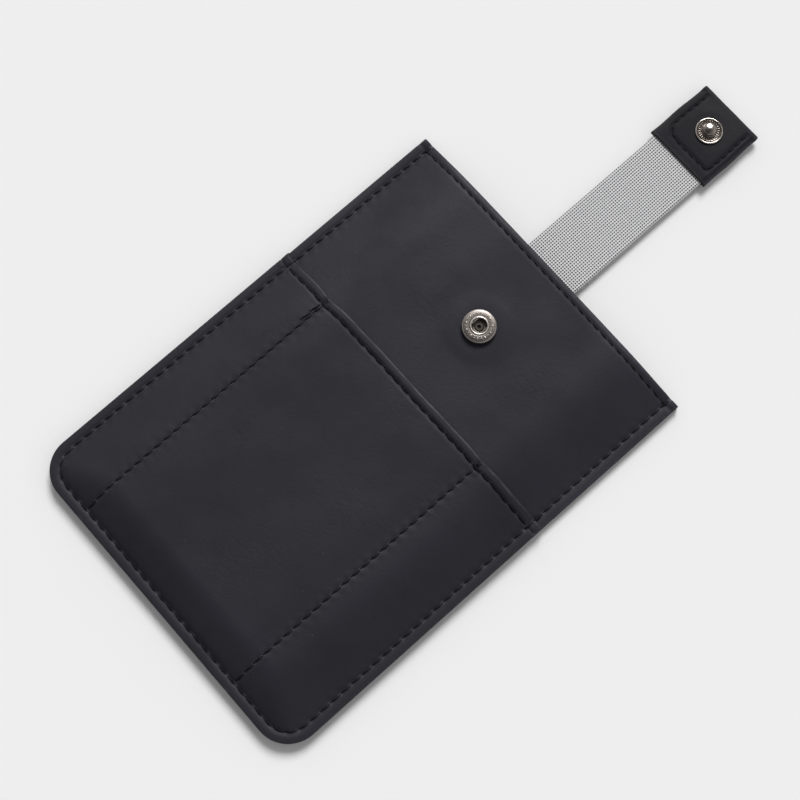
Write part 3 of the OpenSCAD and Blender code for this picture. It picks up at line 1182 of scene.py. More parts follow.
    def pocket(self, x: Array, y: Array) -> Array:
        """Outer height of the pocket, without its cut edges."""
        full = self.face - self.border_top
        swell = self.swell(x, y)
        base = self.border_top + full * swell
        base = base + self.crown * swell * (1 - (x / self.half_width) ** 2)
        base = base + swell * 0.10 * ripple(x, y, 46.0, 5)
        q = self.divider_gap(x)
        slack = swell * 0.8 * (1 - bump_at(q, 6.0))
        slack = slack + swell * 0.05 * ripple(x, y, 15.0, 13)
        seam = -0.26 * bump_at(q, 0.7) * ease(swell * 6)
        wave = np.cos(TURN * y / self.divider_pitch)
        seam = seam + 0.06 * wave * bump_at(q - 1.1, 1.1) * ease(swell * 6)
        e = self.pocket_top - y
        hem = 0.55 * np.cbrt(np.clip(1 - ((e - 1.5) / 1.75) ** 6, 0.0, 1.0))
        wobble = 0.16 * ripple(x, y * 0, 13.0, 21)
        hem = hem * (1 + wobble)
        groove = -0.5 * bump_at(e - self.hem_width + 0.1, 0.7)
        gather = 0.09 * np.cos(TURN * x / self.pitch) * bump_at(e - 4.6, 1.1)
        tack = -0.35 * bump_at(q, 1.0) * bump_at(e - 1.5, 1.8)
        trim = (hem + groove + gather + tack) * (0.35 + 0.65 * ease(swell * 4))
        return base + self.pocket_t + slack + seam + trim + self.border(x, y)

    def hem_sag(self, x: Array) -> Array:
        """How far the pocket's hem hangs below its straight line."""
        lean = 0.55 - 0.011 * x
        left = 0.75 * bump_at(x - self.divider_left, 5.0)
        right = 0.25 * bump_at(x - self.divider_right, 4.0)
        return lean + left + right + 0.16 * ripple(x, x * 0, 21.0, 31)

    def hem_pull(self, x: Array, y: Array) -> Array:
        """How far the sagging hem pulls the pocket down at a point."""
        fade = ease((self.sag_reach - self.pocket_top + y) / self.sag_reach)
        return self.hem_sag(x) * fade * ease((self.edge(x, y) + 2.0) / 4)

    def hung(self, x: Array, y: Array) -> Array:
        """Outer height of the pocket as it hangs."""
        return self.pocket(x, y + self.hem_pull(x, y))

    def outer(self, x: Array, y: Array) -> Array:
        """Height of whichever leather is on top."""
        on_pocket = y + self.hem_pull(x, y) < self.pocket_top
        return np.where(on_pocket, self.hung(x, y), self.front(x, y))

    def normal(self, surface: Surface, x: float, y: float) -> Array:
        """Upward direction of a surface.

        Args:
            surface: Height function.
            x: Place across.
            y: Place along.

        Returns:
            A unit vector.
        """
        step = 0.4
        across = (surface(np.array(x + step), np.array(y))
                  - surface(np.array(x - step), np.array(y))) / (2 * step)
        along = (surface(np.array(x), np.array(y + step))
                 - surface(np.array(x), np.array(y - step))) / (2 * step)
        up = np.array([-float(across), -float(along), 1.0])
        return up / np.linalg.norm(up)


@dataclass
class Panels:
    """Back panel, front panel and both linings."""

    form: PouchForm
    wardrobe: Wardrobe
    lining_t: float = 0.3
    lining_share: float = 0.985
    lining_gap: float = 0.02
    tuck: float = 0.6
    step: float = 2.2
    fine: float = 0.5

    def grid(self, high: float, plain: bool = False) -> tuple[Array, Array]:
        """Places of a sheet with the pouch's outline.

        Args:
            high: Highest height y.
            plain: Whether the sheet has no seams.

        Returns:
            Grids of x and y.
        """
        f = self.form
        bands_y = [(f.bottom + f.seam_in, 2.4, self.fine),
                   (f.mouth - f.mouth_seam_in, 2.8, self.fine / 1.4)]
        bands_x = [(side.value * (f.half_width - f.seam_in), 3.4, self.fine) for side in Side]
        step_y = 0.7
        if plain:
            bands_y, bands_x, step_y = [], [], 3.0
        rows = {y for y in lines(f.bottom, high, step_y, bands_y)
                if y > f.bottom + f.corner or plain}
        return f.spread(rows | f.corner_rows(), high, bands_x, self.step)

    def build_back(self) -> None:
        """Back panel, flat, with the border seam sunk in its underside."""
        f = self.form
        x, y = self.grid(f.mouth)
        d = np.minimum(f.edge(x, y), f.mouth - y)
        drop = f.edge_drop(d)
        hem = self.lining_t * ease((y - (f.mouth - f.mouth_hem)) / 0.5)
        seam = 0.2 * bump_at(f.mouth - f.mouth_seam_in - y, 0.6)
        top = f.panel_t + hem - seam - drop * 0.6
        under = 0.32 * bump_at(f.edge(x, y) - f.seam_in, 0.6) + drop
        under = under + 0.32 * bump_at(f.mouth - f.mouth_seam_in - y, 0.6)
        rub = bump_at(d, 0.7) * 0.6
        piece = shell_piece("back_panel_leather", x, y, top, under,
                            self.wardrobe.get(PANEL_LEATHER), Slot.PANEL, rub)
        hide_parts("back_panel")
        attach(piece, Body.POUCH.value)

    def build_front(self) -> None:
        """Front panel, raised over the contents, with a rolled hem at the mouth."""
        f = self.form
        x, y = self.grid(f.mouth)
        outer = f.front(x, y)
        m = f.mouth - y
        drop = f.edge_drop(f.edge(x, y)) + f.edge_drop(m * 0.6) * 1.3
        hem = f.hem_extra * ease((f.mouth_hem - m) / 0.5)
        inner = outer - f.panel_t - hem
        inner = inner + (f.edge_drop(f.edge(x, y)) + f.edge_drop(m)) * 0.6
        rub = np.maximum(bump_at(f.edge(x, y), 0.6) * 0.3, f.border_gaps(x, y))
        rub = np.maximum(rub, 0.45 * bump_at(m - 0.5, 0.6) * f.swell(x, y))
        piece = shell_piece("front_panel_leather", x, y - f.mouth_pull(x, y), outer - drop, inner,
                            self.wardrobe.get(PANEL_LEATHER), Slot.PANEL, rub)
        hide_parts("front_panel")
        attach(piece, Body.POUCH.value)

    def build_linings(self) -> None:
        """Lining cloth behind each panel, up to the turned hems."""
        f = self.form
        x, y = self.grid(f.mouth - f.mouth_hem + self.tuck, plain=True)
        material = self.wardrobe.get(BLACK_LINING)
        low = np.full(x.shape, f.panel_t)
        back = shell_piece("back_lining_cloth", x * self.lining_share, y,
                           low + self.lining_t, low, material, Slot.LINING)
        under = f.front(x, y) - f.panel_t - self.lining_gap - f.border(x, y)
        front = shell_piece("front_lining_cloth", x * self.lining_share, y, under,
                            under - self.lining_t, material, Slot.LINING)
        for piece, node in ((back, "back_lining"), (front, "front_lining")):
            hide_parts(node)
            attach(piece, Body.POUCH.value)

    def build(self) -> None:
        """Makes every panel and lining."""
        self.build_back()
        self.build_front()
        self.build_linings()


@dataclass
class FrontPocket:
    """One pocket panel, held down along two divider seams."""

    form: PouchForm
    wardrobe: Wardrobe
    step: float = 1.6
    fine: float = 0.42

    def build(self) -> None:
        """Makes the pocket with its rolled hem."""
        f = self.form
        rows = set(lines(f.bottom + f.corner, f.pocket_top, 0.65,
                         [(f.pocket_top - 2.6, 3.6, 0.28), (f.pocket_top - 0.6, 0.6, 0.13)]))
        bands = [(side.value * (f.half_width - f.seam_in), 3.4, 0.5) for side in Side]
        bands += [(place, 2.8, self.fine) for place in (f.divider_left, f.divider_right)]
        x, y = f.spread(rows | f.corner_rows(), f.pocket_top, bands, self.step)
        outer = f.pocket(x, y)
        e = f.pocket_top - y
        roll = 0.9 * (1 - np.sqrt(np.clip(1 - np.clip(1 - e / 0.65, 0, 1) ** 2, 0, 1)))
        drop = f.edge_drop(f.edge(x, y)) + roll
        under = f.front(x, y) + 0.03
        under = under + f.swell(x, y) * 0.7 * (1 - bump_at(f.divider_gap(x), 6.0))
        under = np.minimum(under, outer - drop - 0.35)
        rub = np.maximum(bump_at(f.edge(x, y), 0.5) * 0.2, f.needle_gaps(x, y))
        # Bright line along the hem's rounded upper edge: a painted highlight, kept with the wear
        # marks.
        wear_and_glint = 0.7 + 0.5 * ripple(x, x * 0, 9.0, 41)
        rub = np.maximum(rub, wear_and_glint * bump_at(e - 0.62, 0.32) * (0.4 + 0.6 * f.swell(x, y)))
        piece = shell_piece("front_pocket_leather", x, y - f.hem_pull(x, y), outer - drop, under,
                            self.wardrobe.get(POCKET_LEATHER), Slot.POCKET, rub)
        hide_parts("front_pocket")
        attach(piece, Body.POUCH.value)


# ---- Seams ----


@dataclass(frozen=True)
class Thread:
    """Two-ply sewing thread, and how a stitch of it lies."""

    radius: float = 0.34
    lift: float = 0.04
    dive: float = 0.55
    hole: float = 0.9
    well: float = 0.46
    ply: float = 0.14
    twist: float = 2.6
    around: int = 8
    along: int = 9
    slant: float = 0.2

    def stitch(self, start: Array, end: Array, up: Array) -> tuple[Array, Faces]:
        """One stitch from hole to hole.

        Args:
            start: First hole, on the leather.
            end: Second hole, on the leather.
            up: Direction out of the leather.

        Returns:
            Points and faces of the stitch.
        """
        t = np.linspace(0, 1, self.along)
        arch = 1 - np.abs(2 * t - 1) ** 3.5
        rise = arch * (self.lift + self.dive) - self.dive
        path = start + (end - start) * t[:, None] + up * rise[:, None]
        radii = self.radius * (0.72 + 0.28 * arch)
        return tube_points(path, np.repeat(up[None, :], self.along, 0), radii, self.around,
                           self.ply, self.twist)

    def plug(self, spot: Array, up: Array) -> tuple[Array, Faces]:
        """Dark thread end that fills a needle hole.

        Args:
            spot: The hole, on the leather.
            up: Direction out of the leather.

        Returns:
            Points and faces of the plug.
        """
        reach = np.array([-0.5, -0.1, 0.03, 0.05])
        radii = self.well * np.array([0.7, 1.0, 0.8, 0.15])
        path = spot + up * reach[:, None]
        side = np.array([1.0, 0.0, 0.0])
        return tube_points(path, np.repeat(side[None, :], 4, 0), radii, self.around)


@dataclass
class Seams:
    """Every row of stitches on the pouch."""

    form: PouchForm
    wardrobe: Wardrobe
    thread: Thread = Thread()

    def holes(self, path: Array, pitch: float) -> Array:
        """Evenly spaced needle holes along a path.

        Args:
            path: Corners of the path in the plane.
            pitch: Wanted distance between holes.

        Returns:
            The holes.
        """
        run = np.concatenate([[0], np.cumsum(np.hypot(*np.diff(path, axis=0).T))])
        count = max(1, round(run[-1] / pitch))
        at = np.linspace(0, run[-1], count + 1)
        return np.stack([np.interp(at, run, path[:, 0]), np.interp(at, run, path[:, 1])], -1)

    def row(self, name: str, node: str, paths: Sequence[tuple[Array, float, Surface, float]],
            body: Body = Body.POUCH) -> None:
        """Sews one or more paths as one piece.

        Args:
            name: Name of the piece.
            node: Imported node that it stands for.
            paths: Path, pitch, surface and side, 1 above or -1 below, of each run.
            body: Body that it moves with.
        """
        parts: list[tuple[Array, Faces]] = []
        for path, pitch, surface, side in paths:
            holes = self.holes(path, pitch)
            for a, b in zip(holes[:-1], holes[1:]):
                way = (b - a) / np.linalg.norm(b - a)
                gap = way * self.thread.hole / 2
                lean = np.array([-way[1], way[0]]) * self.thread.slant * side
                a, b = a + gap + lean, b - gap - lean
                ends = [np.array([p[0], p[1], float(surface(*map(np.array, p)))])
                        for p in (a, b)]
                up = self.form.normal(surface, *((a + b) / 2)) * side
                parts.append(self.thread.stitch(*ends, up))
                parts += [self.thread.plug(spot, up) for spot in ends]
        piece = mesh_piece(name, *join_parts(parts), self.wardrobe.get(BLACK_THREAD),
                           Slot.THREAD)
        if node:
            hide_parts(node)
        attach(piece, body.value)

    def border_path(self, top: float) -> Array:
        """Path of the border seam, down the left, along the bottom and up the right.

        Args:
            top: Height y where it begins and ends.

        Returns:
            Its points.
        """
        f = self.form
        across, low = f.half_width - f.corner, f.bottom + f.corner
        radius = f.corner - f.seam_in
        turns = np.radians(np.arange(0, 91, 7.5))
        left = np.stack([-across - radius * np.cos(turns), low - radius * np.sin(turns)], -1)
        right = np.stack([-left[::-1, 0], left[::-1, 1]], -1)
        ends = f.half_width - f.seam_in
        return np.concatenate([[[-ends, top]], left, right, [[ends, top]]])

    def build_border(self) -> None:
        """Seam round three sides, on the front and sunk in the back."""
        f = self.form
        whole = self.holes(self.border_path(f.mouth - f.seam_end), f.pitch)
        pairs = [whole[i:i + 2] for i in range(len(whole) - 1)]
        self.row("border_stitches", "perimeter_stitching",
                 [(pair, ONE_STITCH, f.outer, 1) for pair in pairs])
        self.row("border_stitches_back", "",
                 [(pair, ONE_STITCH, level(f.back_seam_z), -1) for pair in pairs])

    def build_mouth(self) -> None:
        """Seams of the two turned hems at the mouth."""
        f = self.form
        y = f.mouth - f.mouth_seam_in
        reach = f.half_width - f.mouth_seam_end
        steps = round(2 * reach / f.mouth_pitch)
        xs = np.linspace(-reach, reach, steps + 1)
        pull = lambda x: float(f.mouth_pull(np.array(x), np.array(y)))
        runs = []
        for a, b in zip(xs[:-1], xs[1:]):
            ends = np.array([[a, y - pull(a)], [b, y - pull(b)]])
            shifted = lambda x, yy, c=(pull(a) + pull(b)) / 2: f.front(x, yy + c)
            runs.append((ends, ONE_STITCH, shifted, 1))
        self.row("mouth_front_stitches", "mouth_front_stitching", runs)
        inside, under = level(f.panel_t + 0.12), level(f.back_seam_z)
        flat = np.array([[-reach + 4, y], [reach - 4, y]])
        self.row("mouth_back_stitches", "mouth_back_stitching",
                 [(flat, f.mouth_pitch, inside, 1), (flat, f.mouth_pitch, under, -1)])

    def build_pocket(self) -> None:
        """Seam under the pocket's hem, and the two divider seams."""
        f = self.form
        y = f.pocket_top - f.hem_width + f.hem_seam_up
        reach = f.half_width - f.hem_seam_end
        xs = np.linspace(-reach, reach, round(2 * reach / f.pitch) + 1)
        runs = []
        for a, b in zip(xs[:-1], xs[1:]):
            ends = np.array([[a, y - self.pull(a, y)], [b, y - self.pull(b, y)]])
            runs.append((ends, ONE_STITCH, f.hung, 1))
        self.row("pocket_hem_stitches", "pocket_hem_stitching", runs)
        for side, x in ((Side.LEFT, f.divider_left), (Side.RIGHT, f.divider_right)):
            pulled = self.pull(x, f.pocket_top)
            top = f.pocket_top - f.hem_width - f.divider_start - pulled
            path = np.array([[x, top], [x, f.bottom + f.seam_in + f.divider_end]])
            runs = [(path, f.divider_pitch, f.hung, 1)]
            for shift in (-0.35, 0.35):
                tack = np.array([[x + shift, f.pocket_top - 0.9 - pulled],
                                 [x + shift, top + 0.3]])
                runs.append((tack, ONE_STITCH, f.hung, 1))
            if side is Side.LEFT:
                back = np.array([[x - 1.0, top], [x - 1.0, top - 8.0]])
                runs.append((back, f.divider_pitch, f.hung, 1))
            name = side.name.lower()
            self.row(f"divider_stitches_{name}", f"divider_stitching_{name}", runs)

    def pull(self, x: float, y: float) -> float:
        """How far the pocket is pulled down at a point."""
        return float(self.form.hem_pull(np.array(x), np.array(y)))

    def build(self) -> None:
        """Sews every seam of the pouch."""
        self.build_border()
        self.build_mouth()
        self.build_pocket()


# ---- Snap fastener ----


@dataclass
class SnapSocket:
    """Pressed socket with its wire spring, on the front panel."""

    wardrobe: Wardrobe
    hole_r: float = 2.35
    top: float = 2.3
    annulus: float = 2.07
    marks: int = 22
    mark_r: float = 4.2
    mark_width: float = 0.19
    long_mark: float = 0.5
    short_mark: float = 0.16
    wire_r: float = 0.3
    wire_z: float = 1.72
    bar_x: float = 2.08
    ring_r: float = 3.1

    def __post_init__(self) -> None:
        """Finds the socket's place."""
        low, high = mm_box("snap_socket")
        self.centre = np.array([0.0, (low[1] + high[1]) / 2, low[2]])

    def wear_and_glint(self, radius: float, height: float) -> float:
        """How bright the plating is at a point: wear and a painted highlight on the ridge round the
        hole and on the rolled rim, painted shade in the hole and low down.
        """
        ridge = math.exp(-(((height - self.top) / 0.15) ** 2))
        rim = math.exp(-(((radius - 5.4) / 0.2) ** 2)) if height > 1.2 else 0.0
        if radius < self.hole_r or height < 0.9:
            return 0.1
        return min(1.0, 0.16 + 0.7 * max(ridge, 0.6 * rim))

    def build_shell(self) -> None:
        """Rolled rim, flat ring and ridge round the hole."""
        out = rounded([(1.05, 0.0), (4.9, 0.0), (5.3, 0.2), (5.42, 0.7), (5.65, 0.95),
                       (5.65, 1.25), (5.58, 1.5), (5.4, 1.72), (5.15, 1.84), (4.9, 1.9),
                       (4.3, 1.98), (3.5, 2.0), (3.3, 1.96), (3.15, 2.0), (3.0, 2.22),
                       (2.8, 2.3), (2.58, 2.24), (2.42, 2.0), (2.35, 1.7)], passes=2)
        inner = rounded([(2.42, 1.55), (3.3, 1.6), (3.4, 1.3), (4.7, 1.2), (4.7, 0.35),
                         (1.05, 0.3)], passes=1)
        shell = lathe_piece("snap_socket_shell", self.centre, out + inner,
                            self.wardrobe.get(SNAP_NICKEL), Slot.METAL, self.wear_and_glint)
        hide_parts("snap_socket")
        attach(shell, Body.POUCH.value)

    def build_marks(self) -> None:
        """Short pressed bars round the flat ring."""
        parts: list[tuple[Array, Faces]] = []
        for i in range(self.marks):
            t = np.linspace(-1, 1, 5)
            run = t * (self.long_mark if i % 2 else self.short_mark)
            radii = self.mark_width * np.sqrt(np.clip(1.08 - t ** 2, 0.05, 1))
            parts.append(spoke(self.centre, TURN * i / self.marks, self.mark_r + run,
                               self.annulus - 0.05 * run, radii))
        points, faces = join_parts(parts)
        piece = mesh_piece("snap_socket_marks", points, faces,
                           self.wardrobe.get(SNAP_NICKEL), Slot.METAL,
                           np.full(len(points), 1.0))
        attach(piece, Body.POUCH.value)

    def build_spring(self) -> None:
        """One wire: bar, arc, bar, with its ends tucked round the ring."""
        angle = math.acos(self.bar_x / self.ring_r)
        half = math.sqrt(self.ring_r ** 2 - self.bar_x ** 2)
        tail = [(self.ring_r * math.cos(a), self.ring_r * math.sin(a))
                for a in np.linspace(0.35, -angle, 7)]
        bar = [(self.bar_x, y) for y in np.linspace(-half, half, 9)[1:-1]]
        over = [(self.ring_r * math.cos(a), self.ring_r * math.sin(a))
                for a in np.linspace(angle, math.pi - angle, 9)]
        flat = tail + bar + over + [(-x, y) for x, y in bar[::-1]]
        flat += [(-x, y) for x, y in tail[::-1]]
        path = np.array([(x, y, 0.0) for x, y in flat]) + self.centre + UP * self.wire_z
        up = np.repeat(UP, len(path), 0)
        points, faces = tube_points(path, up, np.full(len(path), self.wire_r), 12)
        piece = mesh_piece("snap_spring_wire", points, faces,
                           self.wardrobe.get(SPRING_STEEL), Slot.SPRING,
                           np.full(len(points), 0.8))
        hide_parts("snap_socket_spring")
        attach(piece, Body.POUCH.value)

    def build(self) -> None:
        """Makes the socket and dresses its post."""
        self.build_shell()
        self.build_marks()
        self.build_spring()
        dress("snap_socket_post", self.wardrobe.get(SPRING_STEEL))


def dress(node: str, material: bpy.types.Material) -> None:
    """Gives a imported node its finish.

    Args:
        node: Name of the node.
        material: Its finish.
    """
    piece = frame["nodes"][node]
    piece.data.materials.clear()
    piece.data.materials.append(material)


@dataclass
class SnapStud:
    """Stud on the tab: rolled rim, ribbed dish, neck and ball."""

    wardrobe: Wardrobe
    ball_r: float = 2.15
    ball_rise: float = 0.44
    neck_r: float = 1.72
    height: float = 2.45
    ribs: int = 26
    rib_start: float = 2.35
    rib_length: float = 1.35
    rib_wear_and_glint: float = 0.35

    def __post_init__(self) -> None:
        """Finds the stud's place."""
        low, high = mm_box("snap_stud")
        self.centre = np.array([0.0, (low[1] + high[1]) / 2, low[2]])

    def wear_and_glint(self, radius: float, height: float) -> float:
        """How bright the plating is at a point: wear and a painted highlight on the rolled rim, and a
        little on the ball.
        """
        rim = math.exp(-(((radius - 4.35) / 0.2) ** 2)) if height > 0.4 else 0.0
        ball = 0.22 if height > 1.0 and radius < 2.3 else 0.0
        return min(1.0, 0.12 + 0.88 * max(rim, ball))

    def build(self) -> None:
        """Makes the stud, its ribs and the cap's finish."""
        h = self.height
        dome = [(self.ball_r * t, h - self.ball_rise * t ** 2)
                for t in np.linspace(0, 0.97, 12)]
        profile = dome + rounded([(2.14, 1.99), (2.06, 1.93), (1.75, 1.87), (self.neck_r, 1.76),
                                  (self.neck_r, 1.1), (1.85, 0.42), (2.4, 0.24), (3.5, 0.24),
                                  (3.85, 0.42), (4.05, 0.66), (4.32, 0.7), (4.56, 0.5),
                                  (4.6, 0.2), (4.4, 0.0), (0.0, 0.0)], passes=2)
        stud = lathe_piece("snap_stud_turned", self.centre, profile,
                           self.wardrobe.get(STUD_NICKEL), Slot.METAL, self.wear_and_glint, closed=False)
        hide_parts("snap_stud")
        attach(stud, Body.TAB.value)
        parts: list[tuple[Array, Faces]] = []
        for i in range(self.ribs):
            t = np.linspace(0, 1, 6)
            radii = 0.13 * np.sin(math.pi * (0.12 + 0.76 * t)) + 0.04
            parts.append(spoke(self.centre, TURN * (i + 0.5) / self.ribs,
                               self.rib_start + self.rib_length * t, 0.25 + 0.12 * t ** 3,
                               radii))
        points, faces = join_parts(parts)
        # Ribs lighter than the dish: wear and a painted highlight.
        piece = mesh_piece("snap_stud_ribs", points, faces, self.wardrobe.get(STUD_NICKEL),
                           Slot.METAL, np.full(len(points), self.rib_wear_and_glint))
        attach(piece, Body.TAB.value)
        dress("snap_stud_cap", self.wardrobe.get(SNAP_NICKEL))


# ---- Pull strap ----


@dataclass
class PullStrap:
    """Ribbed webbing from the front lining, round the contents and out of the mouth."""

    wardrobe: Wardrobe
    form: PouchForm
    rib: float = 0.85
    rib_depth: float = 0.09
    edge_soft: float = 0.9
    cord: float = 1.48
    cord_depth: float = 0.03
    sway: float = 0.00024
    fine: float = 0.19
    loop_start: float = 30.0
    anchor_start: float = 60.0
    anchor_pitch: float = 2.6
    near_fold: float = 2.5
    far_fold: float = 5.0

    def __post_init__(self) -> None:
        """Reads the strap's places."""
        low, high = mm_box("strap_back_run")
        self.half = high[0]
        self.thick = high[2] - low[2]
        self.z = (high[2] + low[2]) / 2
        self.run_low = low[1]
        self.lower = self.joint_y("strap_fold")
        self.upper = self.joint_y("tab_fold")
        self.tip_end = mm_box("strap_tip")[1][1]

    @staticmethod
    def joint_y(name: str) -> float:
        """Height y of a hinge line."""
        found = next(j for j in frame["joints"] if j["name"] == name)
        return found["pos_m"][1] / MM

    def band(self, name: str, run: Array, place: Callable[[Array], tuple[Array, Array]],
             flat_start: float) -> bpy.types.Object:
        """A length of webbing along a middle line.

        Args:
            name: Name of the piece.
            run: Distances along the line.
            place: Gives the points and the upward directions at those distances.
            flat_start: Distance of the first point along the whole strap.

        Returns:
            The new object.
        """
        spots, ups = place(run)
        across = lines(-self.half, self.half, 1.1, [(side.value * self.half, 1.4, 0.24)
                                                    for side in Side])
        edge = np.clip((self.half - np.abs(across)) / self.edge_soft, 0, 1)
        body = np.sqrt(np.clip(1 - (1 - edge) ** 2, 0.02, 1))
        cords = self.cord_depth * np.cos(TURN * across / self.cord)
        rib = self.rib_depth * (0.5 - 0.5 * np.cos(TURN * (run + flat_start) / self.rib))
        half = (self.thick / 2 - rib[:, None] + cords[None, :]) * body[None, :]
        sway = self.sway * np.sin(TURN * (run + flat_start) / 7.3)[:, None] * (1 - edge)
        side = np.stack([across, 0 * across, 0 * across], -1)
        mid = spots[:, None, :] + side[None, :, :] * (1 + sway[..., None])
        top = mid + ups[:, None, :] * half[..., None]
        low = mid - ups[:, None, :] * half[..., None]
        points = np.concatenate([top.reshape(-1, 3), low.reshape(-1, 3)])
        cloth = np.zeros((len(run), len(across), 3))
        cloth[..., 0] = (across[None, :] + 100.0) * MM
        cloth[..., 1] = (run[:, None] + flat_start + 100.0) * MM
        flat = np.concatenate([cloth.reshape(-1, 3)] * 2)
        return mesh_piece(name, points, shell_faces(len(run), len(across)),
                          self.wardrobe.get(RIBBED_WEBBING), Slot.WEBBING, None, flat)

    def straight(self, start: float, z: float) -> Callable[[Array], tuple[Array, Array]]:
        """Middle line of a flat run along Y.

        Args:
            start: Height y where it begins.
            z: Height above the table.

        Returns:
            A function from distances to points and upward directions.
        """
        def place(run: Array) -> tuple[Array, Array]:
            """Points and upward directions at the distances."""
            points = np.stack([0 * run, start + run, 0 * run + z], -1)
            return points, np.repeat(UP, len(run), 0)
        return place

    def build_run(self) -> None:
        """Back run and the lower half of the stretch that folds over the mouth."""
        split = (self.lower + self.upper) / 2
        hidden = np.arange(0, self.form.mouth - 4 - self.run_low, 0.95)
        seen = np.arange(self.form.mouth - 4, split, self.fine) - self.run_low
        run = spaced(np.concatenate([hidden, seen, [split - self.run_low]]), 0.05)
        piece = self.band("webbing_run", run, self.straight(self.run_low, self.z), 0.0)
        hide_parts("strap_back_run")
        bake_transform(piece)

    def build_tip(self) -> None:
        """Upper half of the folding stretch and the tip inside the tab."""
        split = (self.lower + self.upper) / 2
        flat_start = split - self.run_low
        run = np.append(np.arange(0, self.tip_end - split - 0.3, self.fine), self.tip_end - split)
        piece = self.band("webbing_tip", run, self.straight(split, self.z), flat_start)
        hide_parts("strap_bend", "strap_tip")
        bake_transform(piece)

    def build_loop(self) -> None:
        """Loop under the contents."""
        low, high = mm_box("strap_loop")
        radius = (high[2] - low[2] - self.thick) / 2
        z_low, z_high = low[2] + self.thick / 2, high[2] - self.thick / 2
        leg = high[1] - low[1] - radius - self.thick / 2
        turn = math.pi * radius

        def place(run: Array) -> tuple[Array, Array]:
            """Points and upward directions down the back leg, round and up the front."""
            angle = np.clip((run - leg) / radius, 0, math.pi)
            down = np.clip(run, 0, leg)
            up = np.clip(run - leg - turn, 0, leg)
            y = high[1] - down + up - radius * np.sin(angle)
            z = (z_low + z_high) / 2 - radius * np.cos(angle)
            inward = np.stack([0 * run, np.sin(angle), np.cos(angle)], -1)
            return np.stack([0 * run, y, z], -1), inward

        total = 2 * leg + turn
        run = np.linspace(0, total, round(total / 0.25))
        piece = self.band("webbing_loop", run, place, self.loop_start)
        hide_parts("strap_loop")
        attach(piece, Body.LOOP.value)

    def build_anchor(self) -> None:
        """Fixed end on the front lining, and its two rows of stitches."""
        low, high = mm_box("strap_anchor_run")
        length = high[1] - low[1]
        run = np.linspace(0, length, round(length / 0.3))
        z = (low[2] + high[2]) / 2
        piece = self.band("webbing_anchor", run, self.straight(low[1], z),
                          self.anchor_start)
        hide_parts("strap_anchor_run")
        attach(piece, Body.POUCH.value)
        seams = Seams(self.form, self.wardrobe)
        reach = self.half - 1.0
        rows = [np.array([[-reach, high[1] - inset], [reach, high[1] - inset]])
                for inset in (1.0, 2.5)]
        seams.row("anchor_stitches", "strap_anchor_stitching",
                  [(path, self.anchor_pitch, level(low[2]), -1) for path in rows])

    def build(self) -> None:
        """Makes every length of the strap."""
        self.build_run()
        self.build_tip()
        self.build_loop()
        self.build_anchor()


# ---- Tab ----


